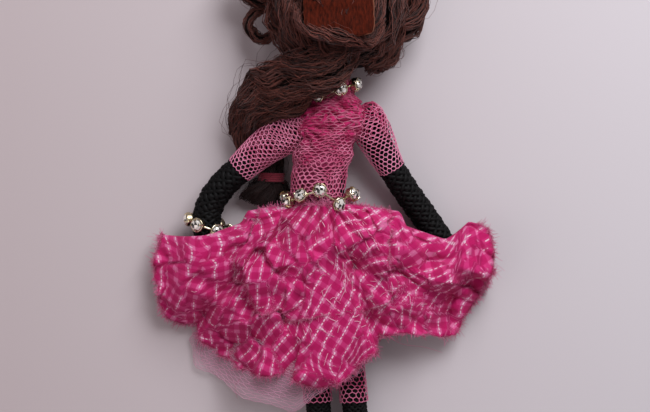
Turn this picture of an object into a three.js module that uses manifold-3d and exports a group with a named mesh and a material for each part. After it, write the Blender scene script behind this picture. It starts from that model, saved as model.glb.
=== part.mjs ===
// Knotted rag doll, lying face down on a table with its back up. Millimetres.
// +X is the doll's right hand side seen from behind, +Y runs from feet to head, +Z is up from the table.
// The waist stands at x = 0, y = 0 of the doll's own group. The part's origin is the point of the table
// under the middle of the skirt, REST_BELOW_WAIST further down.
import * as THREE from "three";
import { mergeVertices } from "three/addons/utils/BufferGeometryUtils.js";
import Module from "manifold-3d";

const wasm = await Module();
wasm.setup();

// Driving dimensions.
const GAP = 0.3; // between pieces that touch on the real doll
const FLAT = 0.5; // depth to which soft forms press flat on the table
const REST_BELOW_WAIST = 24;
const TABLE_SPAN = 400; // block of the table that presses soft forms flat
const TABLE_DEPTH = 20;

const TORSO_WIDTH = 11.2;
const TORSO_DEPTH = 9.6;
const TORSO_HEIGHT = 23; // waist to shoulder line
const TORSO_Z = 9.6; // height of its middle over the table
const HIP_DROP = 7.5; // waist to the bottom of the torso roll
const NECK_RADIUS = 2.2;
const NECK_HEIGHT = 11; // shoulder line to the neck's pivot
const NECK_LEAN = 4; // sideways, waist to neck
const NECK_RISE = 1.6; // neck's pivot over the middle of the torso
const NET = 0.7; // thickness of the gathered net
const BODICE_HEM = 0.4; // above the waist
const TIE_RADIUS = 0.5; // of the thread round the neck and the waist

const HEAD_RADIUS = 13.2;
const HEAD_CLOTH = 0.9;
const NECK_INTO_HEAD = 1.2;
const HAIR_DEPTH = 4.6; // of wool over the head, at the sides
const HAIR_CROWN = 5.2; // of wool over the head, at the back before the patch presses it
const HAIR_RIDGES = 13;
const HAIR_RIDGE = 0.05; // share of the hair's radius
const FACE_EDGE = 6; // height over the table at which the hair stops round the face
const HAIR_ROOM = 80; // block that trims the hair at the face, the crown and the nape
const LOCK_RADIUS = 3.6;
const CURL_RADIUS = 1.35;
const TAIL_HALF_WIDTH = 5.2;
const TAIL_HALF_DEPTH = 3.4;
const BAND_AT = 0.84; // share of the tail's length
const BAND_WIDTH = 2.2;
const BAND = 0.5;
const PATCH_SIDE = 16.8;
const PATCH_THICKNESS = 1.5;
const PATCH_CORNER = 1.2;
const PATCH_PRESS = 2.6; // how far the patch presses the hair's crown down
const PATCH_TURN = 0.05; // radians

const ARM_RADIUS = 2.7;
const SLEEVE_ROOT = 4.1; // radius of the ball of net at the shoulder
const SLEEVE_PUFF = 4.4;
const SLEEVE_CUFF = 3.9;
const SHOULDER_OUT = 1.4; // shoulder pivot outside the bodice
const SHOULDER_DROP = 2.2; // shoulder pivot below the shoulder line
const SHOULDER_SLOPE = 1.1; // right shoulder higher than the middle, left one lower
const WRIST_RISE = 6.1; // height of the left wrist over the table, held up by its bracelet
const RIGHT_HAND_RISE = 2.9;

const LEG_RADIUS = 2.9; // under the stocking
const CALF_RADIUS = 3.7; // below the stocking
const STOCKING = 0.5;
const LEG_LENGTH = 53; // hip pivot to the middle of the foot knot
const STOCKING_LENGTH = 42;
const LEG_LEAN = 0.085; // sideways per unit of length, of both legs
const FOOT_RADIUS = 4.6;
const FOOT_ROLL = 1.5; // radius of the cord that wraps the foot knot

const CUP_RADIUS = 1.8;
const CUP_HEIGHT = 2.2;
const CUP_WALL = 0.22;
const CUP_FLOOR = 0.5;
const STONE_PROUD = 0.45; // crown of the stone above its cup
const STONE_GAP = 0.12;
const LINK_RADIUS = 0.35;
const BELT_STONES = 11;
const BELT_RISE = 2.4; // above the waist
const BELT_WAVE = 1.2;
const BELT_TILT = 0.35;
const RING_STONES = 6; // in the necklace and in the bracelet
const NECKLACE_RISE = 1.8; // of its right side over the middle
const BRACELET_DROP = 3.2; // from the bend of the wrist towards the hand
const BRACELET_TILT = 1; // its top hangs towards the hand

const SKIRT_CLOTH = 0.9;
const SKIRT_TOP = -1.2; // below the waist
const SKIRT_FOLDS = 11;
const SKIRT_FOLD_DEPTH = 0.6;
const SKIRT_RADIUS = 45.5;
const SKIRT_FAN = 1.41; // half the angle that the skirt spreads over
const SKIRT_CENTRE = -1.536; // direction of the middle of the fan
// Hem over the doll's back: degrees from straight down to the doll's right, and share of the radius.
const SKIRT_HEM = [
  [-82, 0.9], [-72, 0.985], [-55, 1], [-48, 0.945], [-36, 0.99], [-12, 0.935], [2, 0.975], [15, 0.86],
  [23, 0.78], [32, 0.8], [45, 0.99], [66, 1], [78, 0.96], [86, 0.84]];
const CENTRE_PANEL = [-14, -5, 14, 24]; // degrees over which the panel above the legs rises and falls
const CENTRE_RISE = 1.6;
const LEFT_SAG = 4; // drop of the fold line that runs from the waist to the left hand
const RIGHT_SAG = 5;
const LEFT_LOBE_RISE = 9.3; // underside of the skirt over the left hand
const RIGHT_LOBE_RISE = 6.7;
const LOBE_DEPTH = 3.2;
const VALLEY_DEPTH = 3.2; // of the skirt between the two layers beside each lobe
const TULLE = 0.6;
const TULLE_RADIUS = 51;
const TULLE_FAN = 0.73;
const TULLE_CENTRE = -1.65;
const TULLE_HEM = [[-47, 0.95], [-40, 1], [-8, 0.99], [-1, 0.9], [38, 0.86]];
const TULLE_EDGE = 2.4; // height of its folded sides over the layers on the table

// Places worked out from the dimensions.
const shoulderLine = TORSO_HEIGHT;
const neckPivot = new THREE.Vector3(NECK_LEAN, shoulderLine + NECK_HEIGHT, TORSO_Z + NECK_RISE);
const headCentre = new THREE.Vector3(
  NECK_LEAN, neckPivot.y + NECK_INTO_HEAD + HEAD_RADIUS, HEAD_RADIUS - FLAT);
const bodiceHalfWidth = TORSO_WIDTH / 2 + GAP + NET;
const leanAt = (y) => NECK_LEAN * THREE.MathUtils.clamp(y / neckPivot.y, 0, 1);
const shoulderAt = (side) => {
  const y = shoulderLine - SHOULDER_DROP + side * SHOULDER_SLOPE;
  return new THREE.Vector3(leanAt(y) + side * (bodiceHalfWidth + SHOULDER_OUT), y, TORSO_Z);
};
const leftShoulder = shoulderAt(-1);
const rightShoulder = shoulderAt(1);
const leftWrist = new THREE.Vector3(leftShoulder.x - 23, leftShoulder.y - 21.6, WRIST_RISE);
const collarTop = neckPivot.y - NECK_RADIUS - 1;

// A closed geometry as a solid, and back again.
function solidOf(geometry) {
  const bare = geometry.clone();
  bare.deleteAttribute("normal");
  bare.deleteAttribute("uv");
  const merged = mergeVertices(bare, 1e-4);
  return new wasm.Manifold(new wasm.Mesh({
    numProp: 3,
    vertProperties: new Float32Array(merged.attributes.position.array),
    triVerts: new Uint32Array(merged.index.array),
  }));
}

function geometryOf(solid) {
  const mesh = solid.getMesh();
  const geometry = new THREE.BufferGeometry();
  geometry.setAttribute("position", new THREE.BufferAttribute(mesh.vertProperties, 3));
  geometry.setIndex(new THREE.BufferAttribute(mesh.triVerts, 1));
  return geometry;
}

const cut = (geometry, ...tools) =>
  geometryOf(tools.reduce((left, tool) => left.subtract(solidOf(tool)), solidOf(geometry)));
const join = (...pieces) => geometryOf(pieces.map(solidOf).reduce((all, piece) => all.add(piece)));

// Triangles between two rings of points, wound so that they face out when the rings run counter-clockwise
// seen against the direction from a to b.
function bridge(triangles, a, b) {
  a.forEach((point, i) => {
    const j = (i + 1) % a.length;
    triangles.push(point, a[j], b[j], point, b[j], b[i]);
  });
}

function facing(triangles) {
  return new THREE.BufferGeometry().setFromPoints(triangles);
}

// A solid skinned over rings, with a fan of triangles to a point at each end.
function loft(rings, start, end) {
  const triangles = [];
  const last = rings[rings.length - 1];
  rings.slice(1).forEach((ring, i) => bridge(triangles, rings[i], ring));
  rings[0].forEach((point, i) => triangles.push(start, rings[0][(i + 1) % rings[0].length], point));
  last.forEach((point, i) => triangles.push(end, point, last[(i + 1) % last.length]));
  return facing(triangles);
}

// A wall between outer and inner rings, open at both ends.
function wall(outer, inner) {
  const triangles = [];
  outer.slice(1).forEach((ring, i) => bridge(triangles, outer[i], ring));
  inner.slice(1).forEach((ring, i) => bridge(triangles, ring, inner[i]));
  bridge(triangles, inner[0], outer[0]);
  bridge(triangles, outer[outer.length - 1], inner[inner.length - 1]);
  return facing(triangles);
}

// A ring of points round a centre, in the plane of across and up.
function ringAt(centre, across, up, halfWidth, halfHeight, sides) {
  return Array.from({ length: sides }, (_, i) => {
    const turn = (2 * Math.PI * i) / sides;
    return centre.clone()
      .addScaledVector(across, halfWidth * Math.cos(turn))
      .addScaledVector(up, halfHeight * Math.sin(turn));
  });
}

// A ring square to the doll's length. Seen along +Y it runs counter-clockwise from up to across.
const X = new THREE.Vector3(1, 0, 0);
const Y = new THREE.Vector3(0, 1, 0);
const Z = new THREE.Vector3(0, 0, 1);
const crossRing = (x, y, z, halfWidth, halfDepth, sides) =>
  ringAt(new THREE.Vector3(x, y, z), Z, X, halfDepth, halfWidth, sides);

function frameOn(curve, t) {
  const along = curve.getTangentAt(t);
  const across = new THREE.Vector3().crossVectors(Z, along).normalize();
  return { at: curve.getPointAt(t), along, across, up: new THREE.Vector3().crossVectors(along, across) };
}

// A soft limb along a route: radius(t) gives its half width and half height, and both ends are domed.
function limb(points, radius, steps, sides, dome = [1, 1]) {
  const curve = new THREE.CatmullRomCurve3(points, false, "centripetal");
  const rings = [];
  const DOME_RINGS = 2;
  const ring = (t, share, shift) => {
    const { at, along, across, up } = frameOn(curve, t);
    const [w, h] = radius(t);
    return ringAt(at.addScaledVector(along, shift * w), across, up, w * share, h * share, sides);
  };
  for (let i = 1; i <= DOME_RINGS; i++) {
    const angle = (Math.PI / 2) * (i / (DOME_RINGS + 1));
    if (dome[0]) rings.push(ring(0, Math.sin(angle), -Math.cos(angle) * dome[0]));
  }
  for (let i = 0; i <= steps; i++) rings.push(ring(i / steps, 1, 0));
  for (let i = DOME_RINGS; i >= 1; i--) {
    const angle = (Math.PI / 2) * (i / (DOME_RINGS + 1));
    if (dome[1]) rings.push(ring(1, Math.sin(angle), Math.cos(angle) * dome[1]));
  }
  const first = frameOn(curve, 0);
  const last = frameOn(curve, 1);
  return loft(rings,
    first.at.addScaledVector(first.along, -radius(0)[0] * dome[0]),
    last.at.addScaledVector(last.along, radius(1)[0] * dome[1]));
}

const ball = (centre, radius, around, down) =>
  new THREE.SphereGeometry(radius, around, down).translate(centre.x, centre.y, centre.z);
const slab = (x, y, z, width, length, height) =>
  new THREE.BoxGeometry(width, length, height).translate(x, y, z + height / 2);
const tableTo = (height) => slab(0, 0, -TABLE_DEPTH, TABLE_SPAN, TABLE_SPAN, TABLE_DEPTH + height);
const smooth = THREE.MathUtils.smoothstep;
const bump = (value, at, width) => Math.exp(-Math.pow((value - at) / width, 2));

// Materials.
const finish = (color, roughness, metalness = 0) =>
  new THREE.MeshStandardMaterial({ color, roughness, metalness });
const blackCloth = finish("#121113", 0.9);
const stuffing = finish("#d8d4ca", 1);
const pinkNet = finish("#c0407c", 0.85);
const gingham = finish("#c4316f", 0.85);
const tulleNet = finish("#cf9bb0", 0.9);
const wool = finish("#3d2823", 0.8);
const redBand = finish("#5e1522", 0.7);
const leather = finish("#59281a", 0.75);
const silver = finish("#b9b4a4", 0.25, 1);
const crystal = finish("#e9e6da", 0.05);
const thread = finish("#2a0f1c", 0.9);

const doll = new THREE.Group();
doll.name = "knotted_rag_doll";
doll.position.y = REST_BELOW_WAIST;

function add(name, geometry, material) {
  const mesh = new THREE.Mesh(geometry, material);
  mesh.name = name;
  doll.add(mesh);
  return mesh;
}

// Torso: a roll of black cloth from the hips to the neck, ending in a round stub that the head sits on.
const TORSO_SIDES = 16;
const torsoSections = [
  { y: -HIP_DROP, share: 0.9 },
  { y: -HIP_DROP / 2, share: 1 },
  { y: shoulderLine * 0.35, share: 0.97 },
  { y: shoulderLine * 0.8, share: 1 },
  { y: shoulderLine * 0.94, share: 0.82 },
];
const neckSections = [
  { y: shoulderLine + NECK_HEIGHT * 0.14, radius: NECK_RADIUS * 1.15 },
  { y: neckPivot.y, radius: NECK_RADIUS },
];
const depthAt = (y) => THREE.MathUtils.lerp(TORSO_Z, neckPivot.z, smooth(y, shoulderLine * 0.8, neckPivot.y));

function torsoRings(grow, from, to) {
  const body = torsoSections.map(({ y, share }) => ({
    y, width: (TORSO_WIDTH / 2) * share, depth: (TORSO_DEPTH / 2) * share }));
  const neck = neckSections.map(({ y, radius }) => ({ y, width: radius, depth: radius }));
  const sections = [...body, ...neck];
  const between = (y) => {
    const k = Math.max(1, sections.findIndex((section) => section.y >= y));
    const [a, b] = [sections[k - 1], sections[k]];
    const t = (y - a.y) / (b.y - a.y);
    return { y, width: a.width + (b.width - a.width) * t, depth: a.depth + (b.depth - a.depth) * t };
  };
  const inside = sections.filter(({ y }) => y > from && y < to);
  return [between(from), ...inside, between(to)].map(({ y, width, depth }) =>
    crossRing(leanAt(y), y, depthAt(y), width + grow, depth + grow, TORSO_SIDES));
}

const hipAt = (side) => new THREE.Vector3(
  side * (LEG_RADIUS + GAP + STOCKING + GAP / 2), -HIP_DROP - GAP, TORSO_Z - LEG_RADIUS / 2);
const armholes = [leftShoulder, rightShoulder].map((at) => ball(at, SLEEVE_ROOT + GAP, 14, 8));
const legSockets = [-1, 1].map((side) => ball(hipAt(side), LEG_RADIUS + GAP, 12, 8));

const neckStub = (grow) => ball(neckPivot, NECK_RADIUS + grow, 12, 8);
const torsoRoll = loft(torsoRings(0, -HIP_DROP, neckPivot.y),
  new THREE.Vector3(leanAt(0), -HIP_DROP - 0.5, TORSO_Z),
  new THREE.Vector3(neckPivot.x, neckPivot.y + 0.1, neckPivot.z));
add("torso_core", cut(join(torsoRoll, neckStub(0)), ...armholes, ...legSockets), blackCloth);

// Bodice: the gathered net over the torso, with armholes and a collar round the neck.
add("bodice", cut(
  wall(torsoRings(GAP + NET, BODICE_HEM, collarTop), torsoRings(GAP, BODICE_HEM, collarTop)),
  ...armholes), pinkNet);

const bodiceRoom = loft(torsoRings(2 * GAP + NET, BODICE_HEM, collarTop),
  new THREE.Vector3(0, BODICE_HEM / 2, TORSO_Z),
  new THREE.Vector3(leanAt(collarTop), collarTop + 0.1, neckPivot.z));

// Head: a ball of stuffing inside a black cloth that is tied at the neck.
const neckSocket = neckStub(GAP);
const table = tableTo(0);
add("head_stuffing", cut(ball(headCentre, HEAD_RADIUS - HEAD_CLOTH - 2 * GAP, 16, 10), neckSocket), stuffing);
add("head_cover", cut(ball(headCentre, HEAD_RADIUS, 20, 13),
  ball(headCentre, HEAD_RADIUS - HEAD_CLOTH, 16, 10), neckSocket, table), blackCloth);

add("neck_tie", new THREE.TorusGeometry(NECK_RADIUS + GAP + TIE_RADIUS, TIE_RADIUS, 5, 16)
  .rotateX(Math.PI / 2)
  .translate(leanAt(collarTop), collarTop + GAP + TIE_RADIUS, depthAt(collarTop + 1)), thread);

// Hair: a ridged cap of wool that leaves the face free, with locks at both sides and a small curl.
const hairCentre = new THREE.Vector3(headCentre.x - 0.6, headCentre.y + 1.5, headCentre.z + 1);
const hairReach = new THREE.Vector3(
  HEAD_RADIUS + HAIR_DEPTH, HEAD_RADIUS + HAIR_DEPTH + 0.8, HEAD_RADIUS + HAIR_CROWN - 1);
const patchUnder = hairCentre.z + hairReach.z - PATCH_PRESS;

function ridgedBall(grow) {
  const geometry = new THREE.SphereGeometry(1, 24, 13);
  const position = geometry.attributes.position;
  for (let i = 0; i < position.count; i++) {
    const at = new THREE.Vector3().fromBufferAttribute(position, i);
    const swell = 1 + HAIR_RIDGE * Math.sin(HAIR_RIDGES * Math.atan2(at.y, at.x)) * Math.hypot(at.x, at.y);
    at.multiply(hairReach.clone().addScalar(grow)).multiplyScalar(swell).add(hairCentre);
    position.setXYZ(i, at.x, at.y, at.z);
  }
  return geometry;
}

const headRoom = ball(headCentre, HEAD_RADIUS + GAP, 20, 13);
const trimAt = (y, z) => slab(headCentre.x, y, z, HAIR_ROOM, HAIR_ROOM, HAIR_ROOM);
const faceRoom = trimAt(headCentre.y, FACE_EDGE - HAIR_ROOM);
const crownRoom = trimAt(headCentre.y, patchUnder);
const belowNape = (gap) => trimAt(neckPivot.y - gap - HAIR_ROOM / 2, -HAIR_ROOM / 2);
add("hair_cap", cut(ridgedBall(0), headRoom, faceRoom, crownRoom, belowNape(0), neckSocket), wool);

const hairRoom = ridgedBall(GAP);

// A lock of hair on the head, by points given from the head's centre.
function lock(points, thickness, steps, flatten = 1) {
  const route = points.map(([x, y, z]) => new THREE.Vector3(x, y, z).add(headCentre));
  const radius = (t) => {
    const r = thickness * (0.55 + 0.45 * Math.sin(Math.PI * Math.min(1, 0.15 + t * 0.85)));
    return [r, r * flatten];
  };
  return limb(route, radius, steps, 8);
}

const side = HEAD_RADIUS + HAIR_DEPTH;
const rightLock = [[side * 0.7, 14, -1], [side * 1.04, 8, -2], [side * 1.08, 0, -3],
  [side * 0.96, -7.5, -4], [side * 0.7, -13, -3]];
const leftLock = [[-side * 0.7, 15, -1], [-side * 1.1, 11, -2], [-side * 1.2, 5, -3],
  [-side * 1.06, 0, -3], [-side * 0.7, -2, -2]];
const leftCurl = [[-side * 0.84, -3, -4], [-side * 1.1, -3.8, -5], [-side * 1.18, -6.4, -5.5],
  [-side * 1.04, -8.8, -5], [-side * 0.8, -8.6, -4], [-side * 0.6, -7.4, -3]];
add("right_lock", cut(lock(rightLock, LOCK_RADIUS, 10), hairRoom, neckSocket), wool);
add("left_lock", cut(lock(leftLock, LOCK_RADIUS, 10), hairRoom), wool);
add("left_curl", cut(lock(leftCurl, CURL_RADIUS, 12), hairRoom, lock(leftLock, LOCK_RADIUS + GAP, 10)), wool);

// Patch: a square of leather glued over the crown of the hair.
function patchOutline() {
  const half = PATCH_SIDE / 2;
  const inner = half - PATCH_CORNER;
  const outline = new THREE.Shape();
  outline.moveTo(inner, -half);
  [[1, -1], [1, 1], [-1, 1], [-1, -1]].forEach(([sx, sy], i) => {
    const start = -Math.PI / 2 + (i * Math.PI) / 2;
    outline.absarc(sx * inner, sy * inner, PATCH_CORNER, start, start + Math.PI / 2);
  });
  return outline;
}
const patch = add("back_patch", new THREE.ExtrudeGeometry(patchOutline(), {
  depth: PATCH_THICKNESS, bevelEnabled: false, curveSegments: 4 }), leather);
patch.position.set(headCentre.x, headCentre.y, patchUnder + GAP);
patch.rotation.z = PATCH_TURN;

// Arms: black cord from the shoulders to the hands, each with a net sleeve to the elbow.
const leftRoute = [
  leftShoulder,
  new THREE.Vector3(leftShoulder.x - 7.6, leftShoulder.y - 6.1, TORSO_Z - 0.6),
  new THREE.Vector3(leftShoulder.x - 14.6, leftShoulder.y - 12.6, TORSO_Z - 1.8),
  new THREE.Vector3(leftShoulder.x - 20, leftShoulder.y - 17, WRIST_RISE + 0.9),
  leftWrist,
  new THREE.Vector3(leftWrist.x, leftShoulder.y - 28.8, WRIST_RISE),
  new THREE.Vector3(leftShoulder.x - 22.4, leftShoulder.y - 33.8, WRIST_RISE - 0.4),
];
const rightRoute = [
  rightShoulder,
  new THREE.Vector3(rightShoulder.x + 5.6, rightShoulder.y - 10.4, TORSO_Z - 2.2),
  new THREE.Vector3(rightShoulder.x + 11, rightShoulder.y - 18.8, TORSO_Z - 4.6),
  new THREE.Vector3(rightShoulder.x + 15.8, rightShoulder.y - 25.4, RIGHT_HAND_RISE + 0.3),
  new THREE.Vector3(rightShoulder.x + 22.2, rightShoulder.y - 35, RIGHT_HAND_RISE),
];
const armRadius = (grow) => () => [ARM_RADIUS + grow, ARM_RADIUS + grow];
const ARM_SIDES = 10;

function arm(name, route, sleeveShare, handSteps) {
  const sleeveRadius = (grow) => (t) => {
    const puff = THREE.MathUtils.lerp(SLEEVE_ROOT, SLEEVE_PUFF, smooth(t, 0, 0.4));
    const r = THREE.MathUtils.lerp(puff, SLEEVE_CUFF, smooth(t, 0.5, 1)) + grow;
    return [r, r];
  };
  const whole = new THREE.CatmullRomCurve3(route, false, "centripetal");
  const SLEEVE_POINTS = 5;
  const upper = Array.from({ length: SLEEVE_POINTS + 1 },
    (_, i) => whole.getPointAt((sleeveShare * i) / SLEEVE_POINTS));
  add(`${name}_arm`, cut(limb(route, armRadius(0), handSteps, ARM_SIDES), table), blackCloth);
  add(`${name}_sleeve`, cut(limb(upper, sleeveRadius(0), 6, 12, [1, 0]),
    limb(route, armRadius(GAP), handSteps, ARM_SIDES),
    cut(bodiceRoom, ball(route[0], SLEEVE_ROOT, 14, 8))), pinkNet);
  return join(
    limb(upper, sleeveRadius(GAP), 6, 12, [1, 0.1]), limb(route, armRadius(GAP), handSteps, ARM_SIDES));
}
const leftSleeveRoom = arm("left", leftRoute, 0.48, 13);
arm("right", rightRoute, 0.42, 11);

const stack = SKIRT_CLOTH + GAP + TULLE + GAP; // skirt and petticoat under the legs

// Legs: black cord with a net stocking, ending in a knot that makes the foot.
const LEG_SIDES = 10;
function leg(name, sign) {
  const hip = hipAt(sign);
  const spread = (2 * FOOT_RADIUS + GAP - 2 * Math.abs(hip.x)) / (2 * LEG_LENGTH);
  const lean = LEG_LEAN + sign * Math.max(0, spread);
  const footZ = FOOT_RADIUS - FLAT;
  const legZ = stack + GAP + CALF_RADIUS;
  const point = (share, z) =>
    new THREE.Vector3(hip.x + lean * LEG_LENGTH * share, hip.y - LEG_LENGTH * share, z);
  const route = [
    point(0, hip.z), point(0.3, legZ + 0.4), point(0.6, legZ), point(0.84, legZ), point(1, footZ)];
  const stockingEnd = STOCKING_LENGTH / LEG_LENGTH;
  const radius = (grow) => (t) => {
    const below = smooth(t, stockingEnd, stockingEnd + 0.04);
    const r = THREE.MathUtils.lerp(LEG_RADIUS, CALF_RADIUS, below) + grow;
    return [r, r];
  };
  const foot = route[route.length - 1];
  const along = foot.clone().sub(route[route.length - 2]).normalize();
  const turnTo = new THREE.Quaternion().setFromUnitVectors(Z, along);
  const wrap = new THREE.TorusGeometry(FOOT_RADIUS - FOOT_ROLL, FOOT_ROLL, 6, 12)
    .rotateX(0.5).applyQuaternion(turnTo).translate(foot.x, foot.y, foot.z);
  add(`${name}_leg`, cut(join(limb(route, radius(0), 13, LEG_SIDES), wrap), table), blackCloth);
  const curve = new THREE.CatmullRomCurve3(route, false, "centripetal");
  const rings = (grow) => Array.from({ length: 7 }, (_, i) => {
    const t = stockingEnd * (0.1 + 0.88 * (i / 6));
    const { at, across, up } = frameOn(curve, t);
    return ringAt(at, across, up, LEG_RADIUS + grow, LEG_RADIUS + grow, LEG_SIDES);
  });
  add(`${name}_stocking`, wall(rings(GAP + STOCKING), rings(GAP)), pinkNet);
}
leg("left", -1);
leg("right", 1);

// Skirts: circles of cloth held at the waist and folded flat on the doll's front and back. The loop of each
// layer runs from the right hand fold over the doll's back to the left hand fold, and returns on the table.
const SIDE_INSET = 1.5; // how much further the inner face stays behind at the folded sides
const ROUNDNESS = 1.6; // of the fold at each side, 1 is a full round
const straightDown = -Math.PI / 2;

function hemShare(hem, angle) {
  const [first, last] = [hem[0], hem[hem.length - 1]];
  const degrees = THREE.MathUtils.clamp(THREE.MathUtils.radToDeg(angle - straightDown), first[0], last[0]);
  const k = Math.max(1, hem.findIndex(([at]) => at >= degrees));
  const [[fromAt, from], [toAt, to]] = [hem[k - 1], hem[k]];
  return THREE.MathUtils.mapLinear(degrees, fromAt, toAt, from, to);
}

function foldedSkirt(shape, loops, steps) {
  const ring = (v, inset) => Array.from({ length: loops }, (_, i) => {
    const turn = (2 * Math.PI * i) / loops;
    const a = Math.cos(turn);
    const fill = THREE.MathUtils.clamp(ROUNDNESS * Math.sin(turn), -1, 1);
    const angle = shape.centre + a * (shape.fan - (SIDE_INSET * inset) / shape.radius);
    const reach = shape.radius * hemShare(shape.hem, angle);
    const low = shape.low(a);
    const high = shape.high(a, angle);
    const hemZ = (low + high) / 2 + fill * ((high - low) / 2 - inset)
      + Math.max(0, fill) * shape.ripple * Math.sin(SKIRT_FOLDS * Math.PI * a);
    const waist = new THREE.Vector3(Math.cos(turn), 0, Math.sin(turn)).multiplyScalar(shape.waist - inset);
    const drop = THREE.MathUtils.lerp(smooth(v, 0, 0.4), v, (fill + 1) / 2);
    const sag = shape.sag(a) * bump(v, 0.62, 0.22) * Math.pow(Math.abs(a), 8);
    return new THREE.Vector3(
      THREE.MathUtils.lerp(waist.x, reach * Math.cos(angle), v),
      THREE.MathUtils.lerp(SKIRT_TOP, reach * Math.sin(angle), v) - sag,
      THREE.MathUtils.lerp(TORSO_Z + waist.z, hemZ, drop));
  });
  const rings = (inset) => Array.from({ length: steps + 1 }, (_, k) => ring(k / steps, inset));
  return wall(rings(0), rings(shape.cloth));
}

const tulleWaist = TORSO_WIDTH / 2 + GAP + TULLE;
const skirtWaist = tulleWaist + GAP + SKIRT_CLOTH;
const legTop = stack + GAP + 2 * CALF_RADIUS;
const tulleHigh = legTop + GAP + TULLE;
const sideHigh = tulleHigh + GAP + SKIRT_CLOTH + SKIRT_FOLD_DEPTH + GAP;
const lobe = (a) => smooth(Math.abs(a), 0.6, 0.76);
const lobeRise = (a) => (a < 0 ? LEFT_LOBE_RISE : RIGHT_LOBE_RISE);
const panelHigh = (angle) => {
  const degrees = THREE.MathUtils.radToDeg(angle - straightDown);
  const [riseFrom, riseTo, fallFrom, fallTo] = CENTRE_PANEL;
  return sideHigh + CENTRE_RISE * smooth(degrees, riseFrom, riseTo) * (1 - smooth(degrees, fallFrom, fallTo));
};

add("petticoat", foldedSkirt({
  waist: tulleWaist, cloth: TULLE, radius: TULLE_RADIUS, fan: TULLE_FAN, centre: TULLE_CENTRE,
  hem: TULLE_HEM, ripple: 0, sag: () => 0,
  low: () => SKIRT_CLOTH + GAP,
  high: (a) => THREE.MathUtils.lerp(tulleHigh, stack + TULLE_EDGE, smooth(Math.abs(a), 0.8, 1)),
}, 36, 6), tulleNet);
add("overskirt", foldedSkirt({
  waist: skirtWaist, cloth: SKIRT_CLOTH, radius: SKIRT_RADIUS, fan: SKIRT_FAN, centre: SKIRT_CENTRE,
  hem: SKIRT_HEM, ripple: SKIRT_FOLD_DEPTH, sag: (a) => (a < 0 ? LEFT_SAG : RIGHT_SAG),
  low: (a) => lobeRise(a) * lobe(a),
  high: (a, angle) => THREE.MathUtils.lerp(
    panelHigh(angle) - VALLEY_DEPTH * smooth(Math.abs(a), 0.6, 0.72),
    lobeRise(a) + LOBE_DEPTH, smooth(Math.abs(a), 0.62, 0.8)),
}, 72, 8), gingham);

const waistTie = TORSO_WIDTH / 2 + GAP + TIE_RADIUS;
add("waist_tie", new THREE.TorusGeometry(waistTie, TIE_RADIUS, 5, 20)
  .rotateX(Math.PI / 2).translate(0, SKIRT_TOP + GAP + TIE_RADIUS, TORSO_Z), thread);

// Cup chains: round silver settings joined by links, each holding a cut glass stone. All cups of one chain
// hang together, so that they make one piece, and every stone is a piece of its own.
const CHAIN_SIDES = 8;
const cupProfile = [[0, 0], [CUP_RADIUS, 0], [CUP_RADIUS, CUP_HEIGHT], [CUP_RADIUS - CUP_WALL, CUP_HEIGHT],
  [CUP_RADIUS - CUP_WALL, CUP_FLOOR], [0, CUP_FLOOR]];
const stoneRadius = CUP_RADIUS - CUP_WALL - STONE_GAP;
const stoneProfile = [[0, CUP_FLOOR + STONE_GAP], [stoneRadius * 0.4, CUP_FLOOR + STONE_GAP],
  [stoneRadius, CUP_HEIGHT - 0.2], [stoneRadius * 0.62, CUP_HEIGHT + STONE_PROUD],
  [0, CUP_HEIGHT + STONE_PROUD]];
const turned = (profile) =>
  new THREE.LatheGeometry(profile.map(([r, h]) => new THREE.Vector2(r, h)), CHAIN_SIDES);

function link(a, b) {
  const span = b.clone().sub(a);
  const reach = span.length() - 2 * (CUP_RADIUS - CUP_WALL / 2);
  const rod = new THREE.CylinderGeometry(LINK_RADIUS, LINK_RADIUS, reach, 5);
  rod.applyQuaternion(new THREE.Quaternion().setFromUnitVectors(Y, span.clone().normalize()));
  const middle = a.clone().add(b).multiplyScalar(0.5);
  return rod.translate(middle.x, middle.y, middle.z);
}

// A closed chain round a centre. Each stone may stand off along the axis and lean towards it.
function cupChain(name, { centre, axis, inner, stones, start, wave, lean }) {
  const u = new THREE.Vector3().crossVectors(axis, Z).normalize();
  const v = new THREE.Vector3().crossVectors(u, axis);
  const seats = Array.from({ length: stones }, (_, i) => {
    const turn = start + (2 * Math.PI * i) / stones;
    const out = u.clone().multiplyScalar(Math.cos(turn)).addScaledVector(v, Math.sin(turn));
    const tilt = lean(i);
    const at = centre.clone().addScaledVector(out, inner).addScaledVector(axis, wave(i, turn));
    const face = out.clone().multiplyScalar(Math.cos(tilt)).addScaledVector(axis, Math.sin(tilt));
    return { at, face, turnTo: new THREE.Quaternion().setFromUnitVectors(Y, face) };
  });
  const placed = (profile, { at, turnTo }) =>
    turned(profile).applyQuaternion(turnTo).translate(at.x, at.y, at.z);
  const mid = seats.map(({ at, face }) => at.clone().addScaledVector(face, CUP_HEIGHT * 0.5));
  const links = mid.map((from, i) => link(from, mid[(i + 1) % stones]));
  add(`${name}_chain`, join(...seats.map((seat) => placed(cupProfile, seat)), ...links), silver);
  seats.forEach((seat, i) => add(`${name}_stone_${i + 1}`, placed(stoneProfile, seat), crystal));
}

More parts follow.
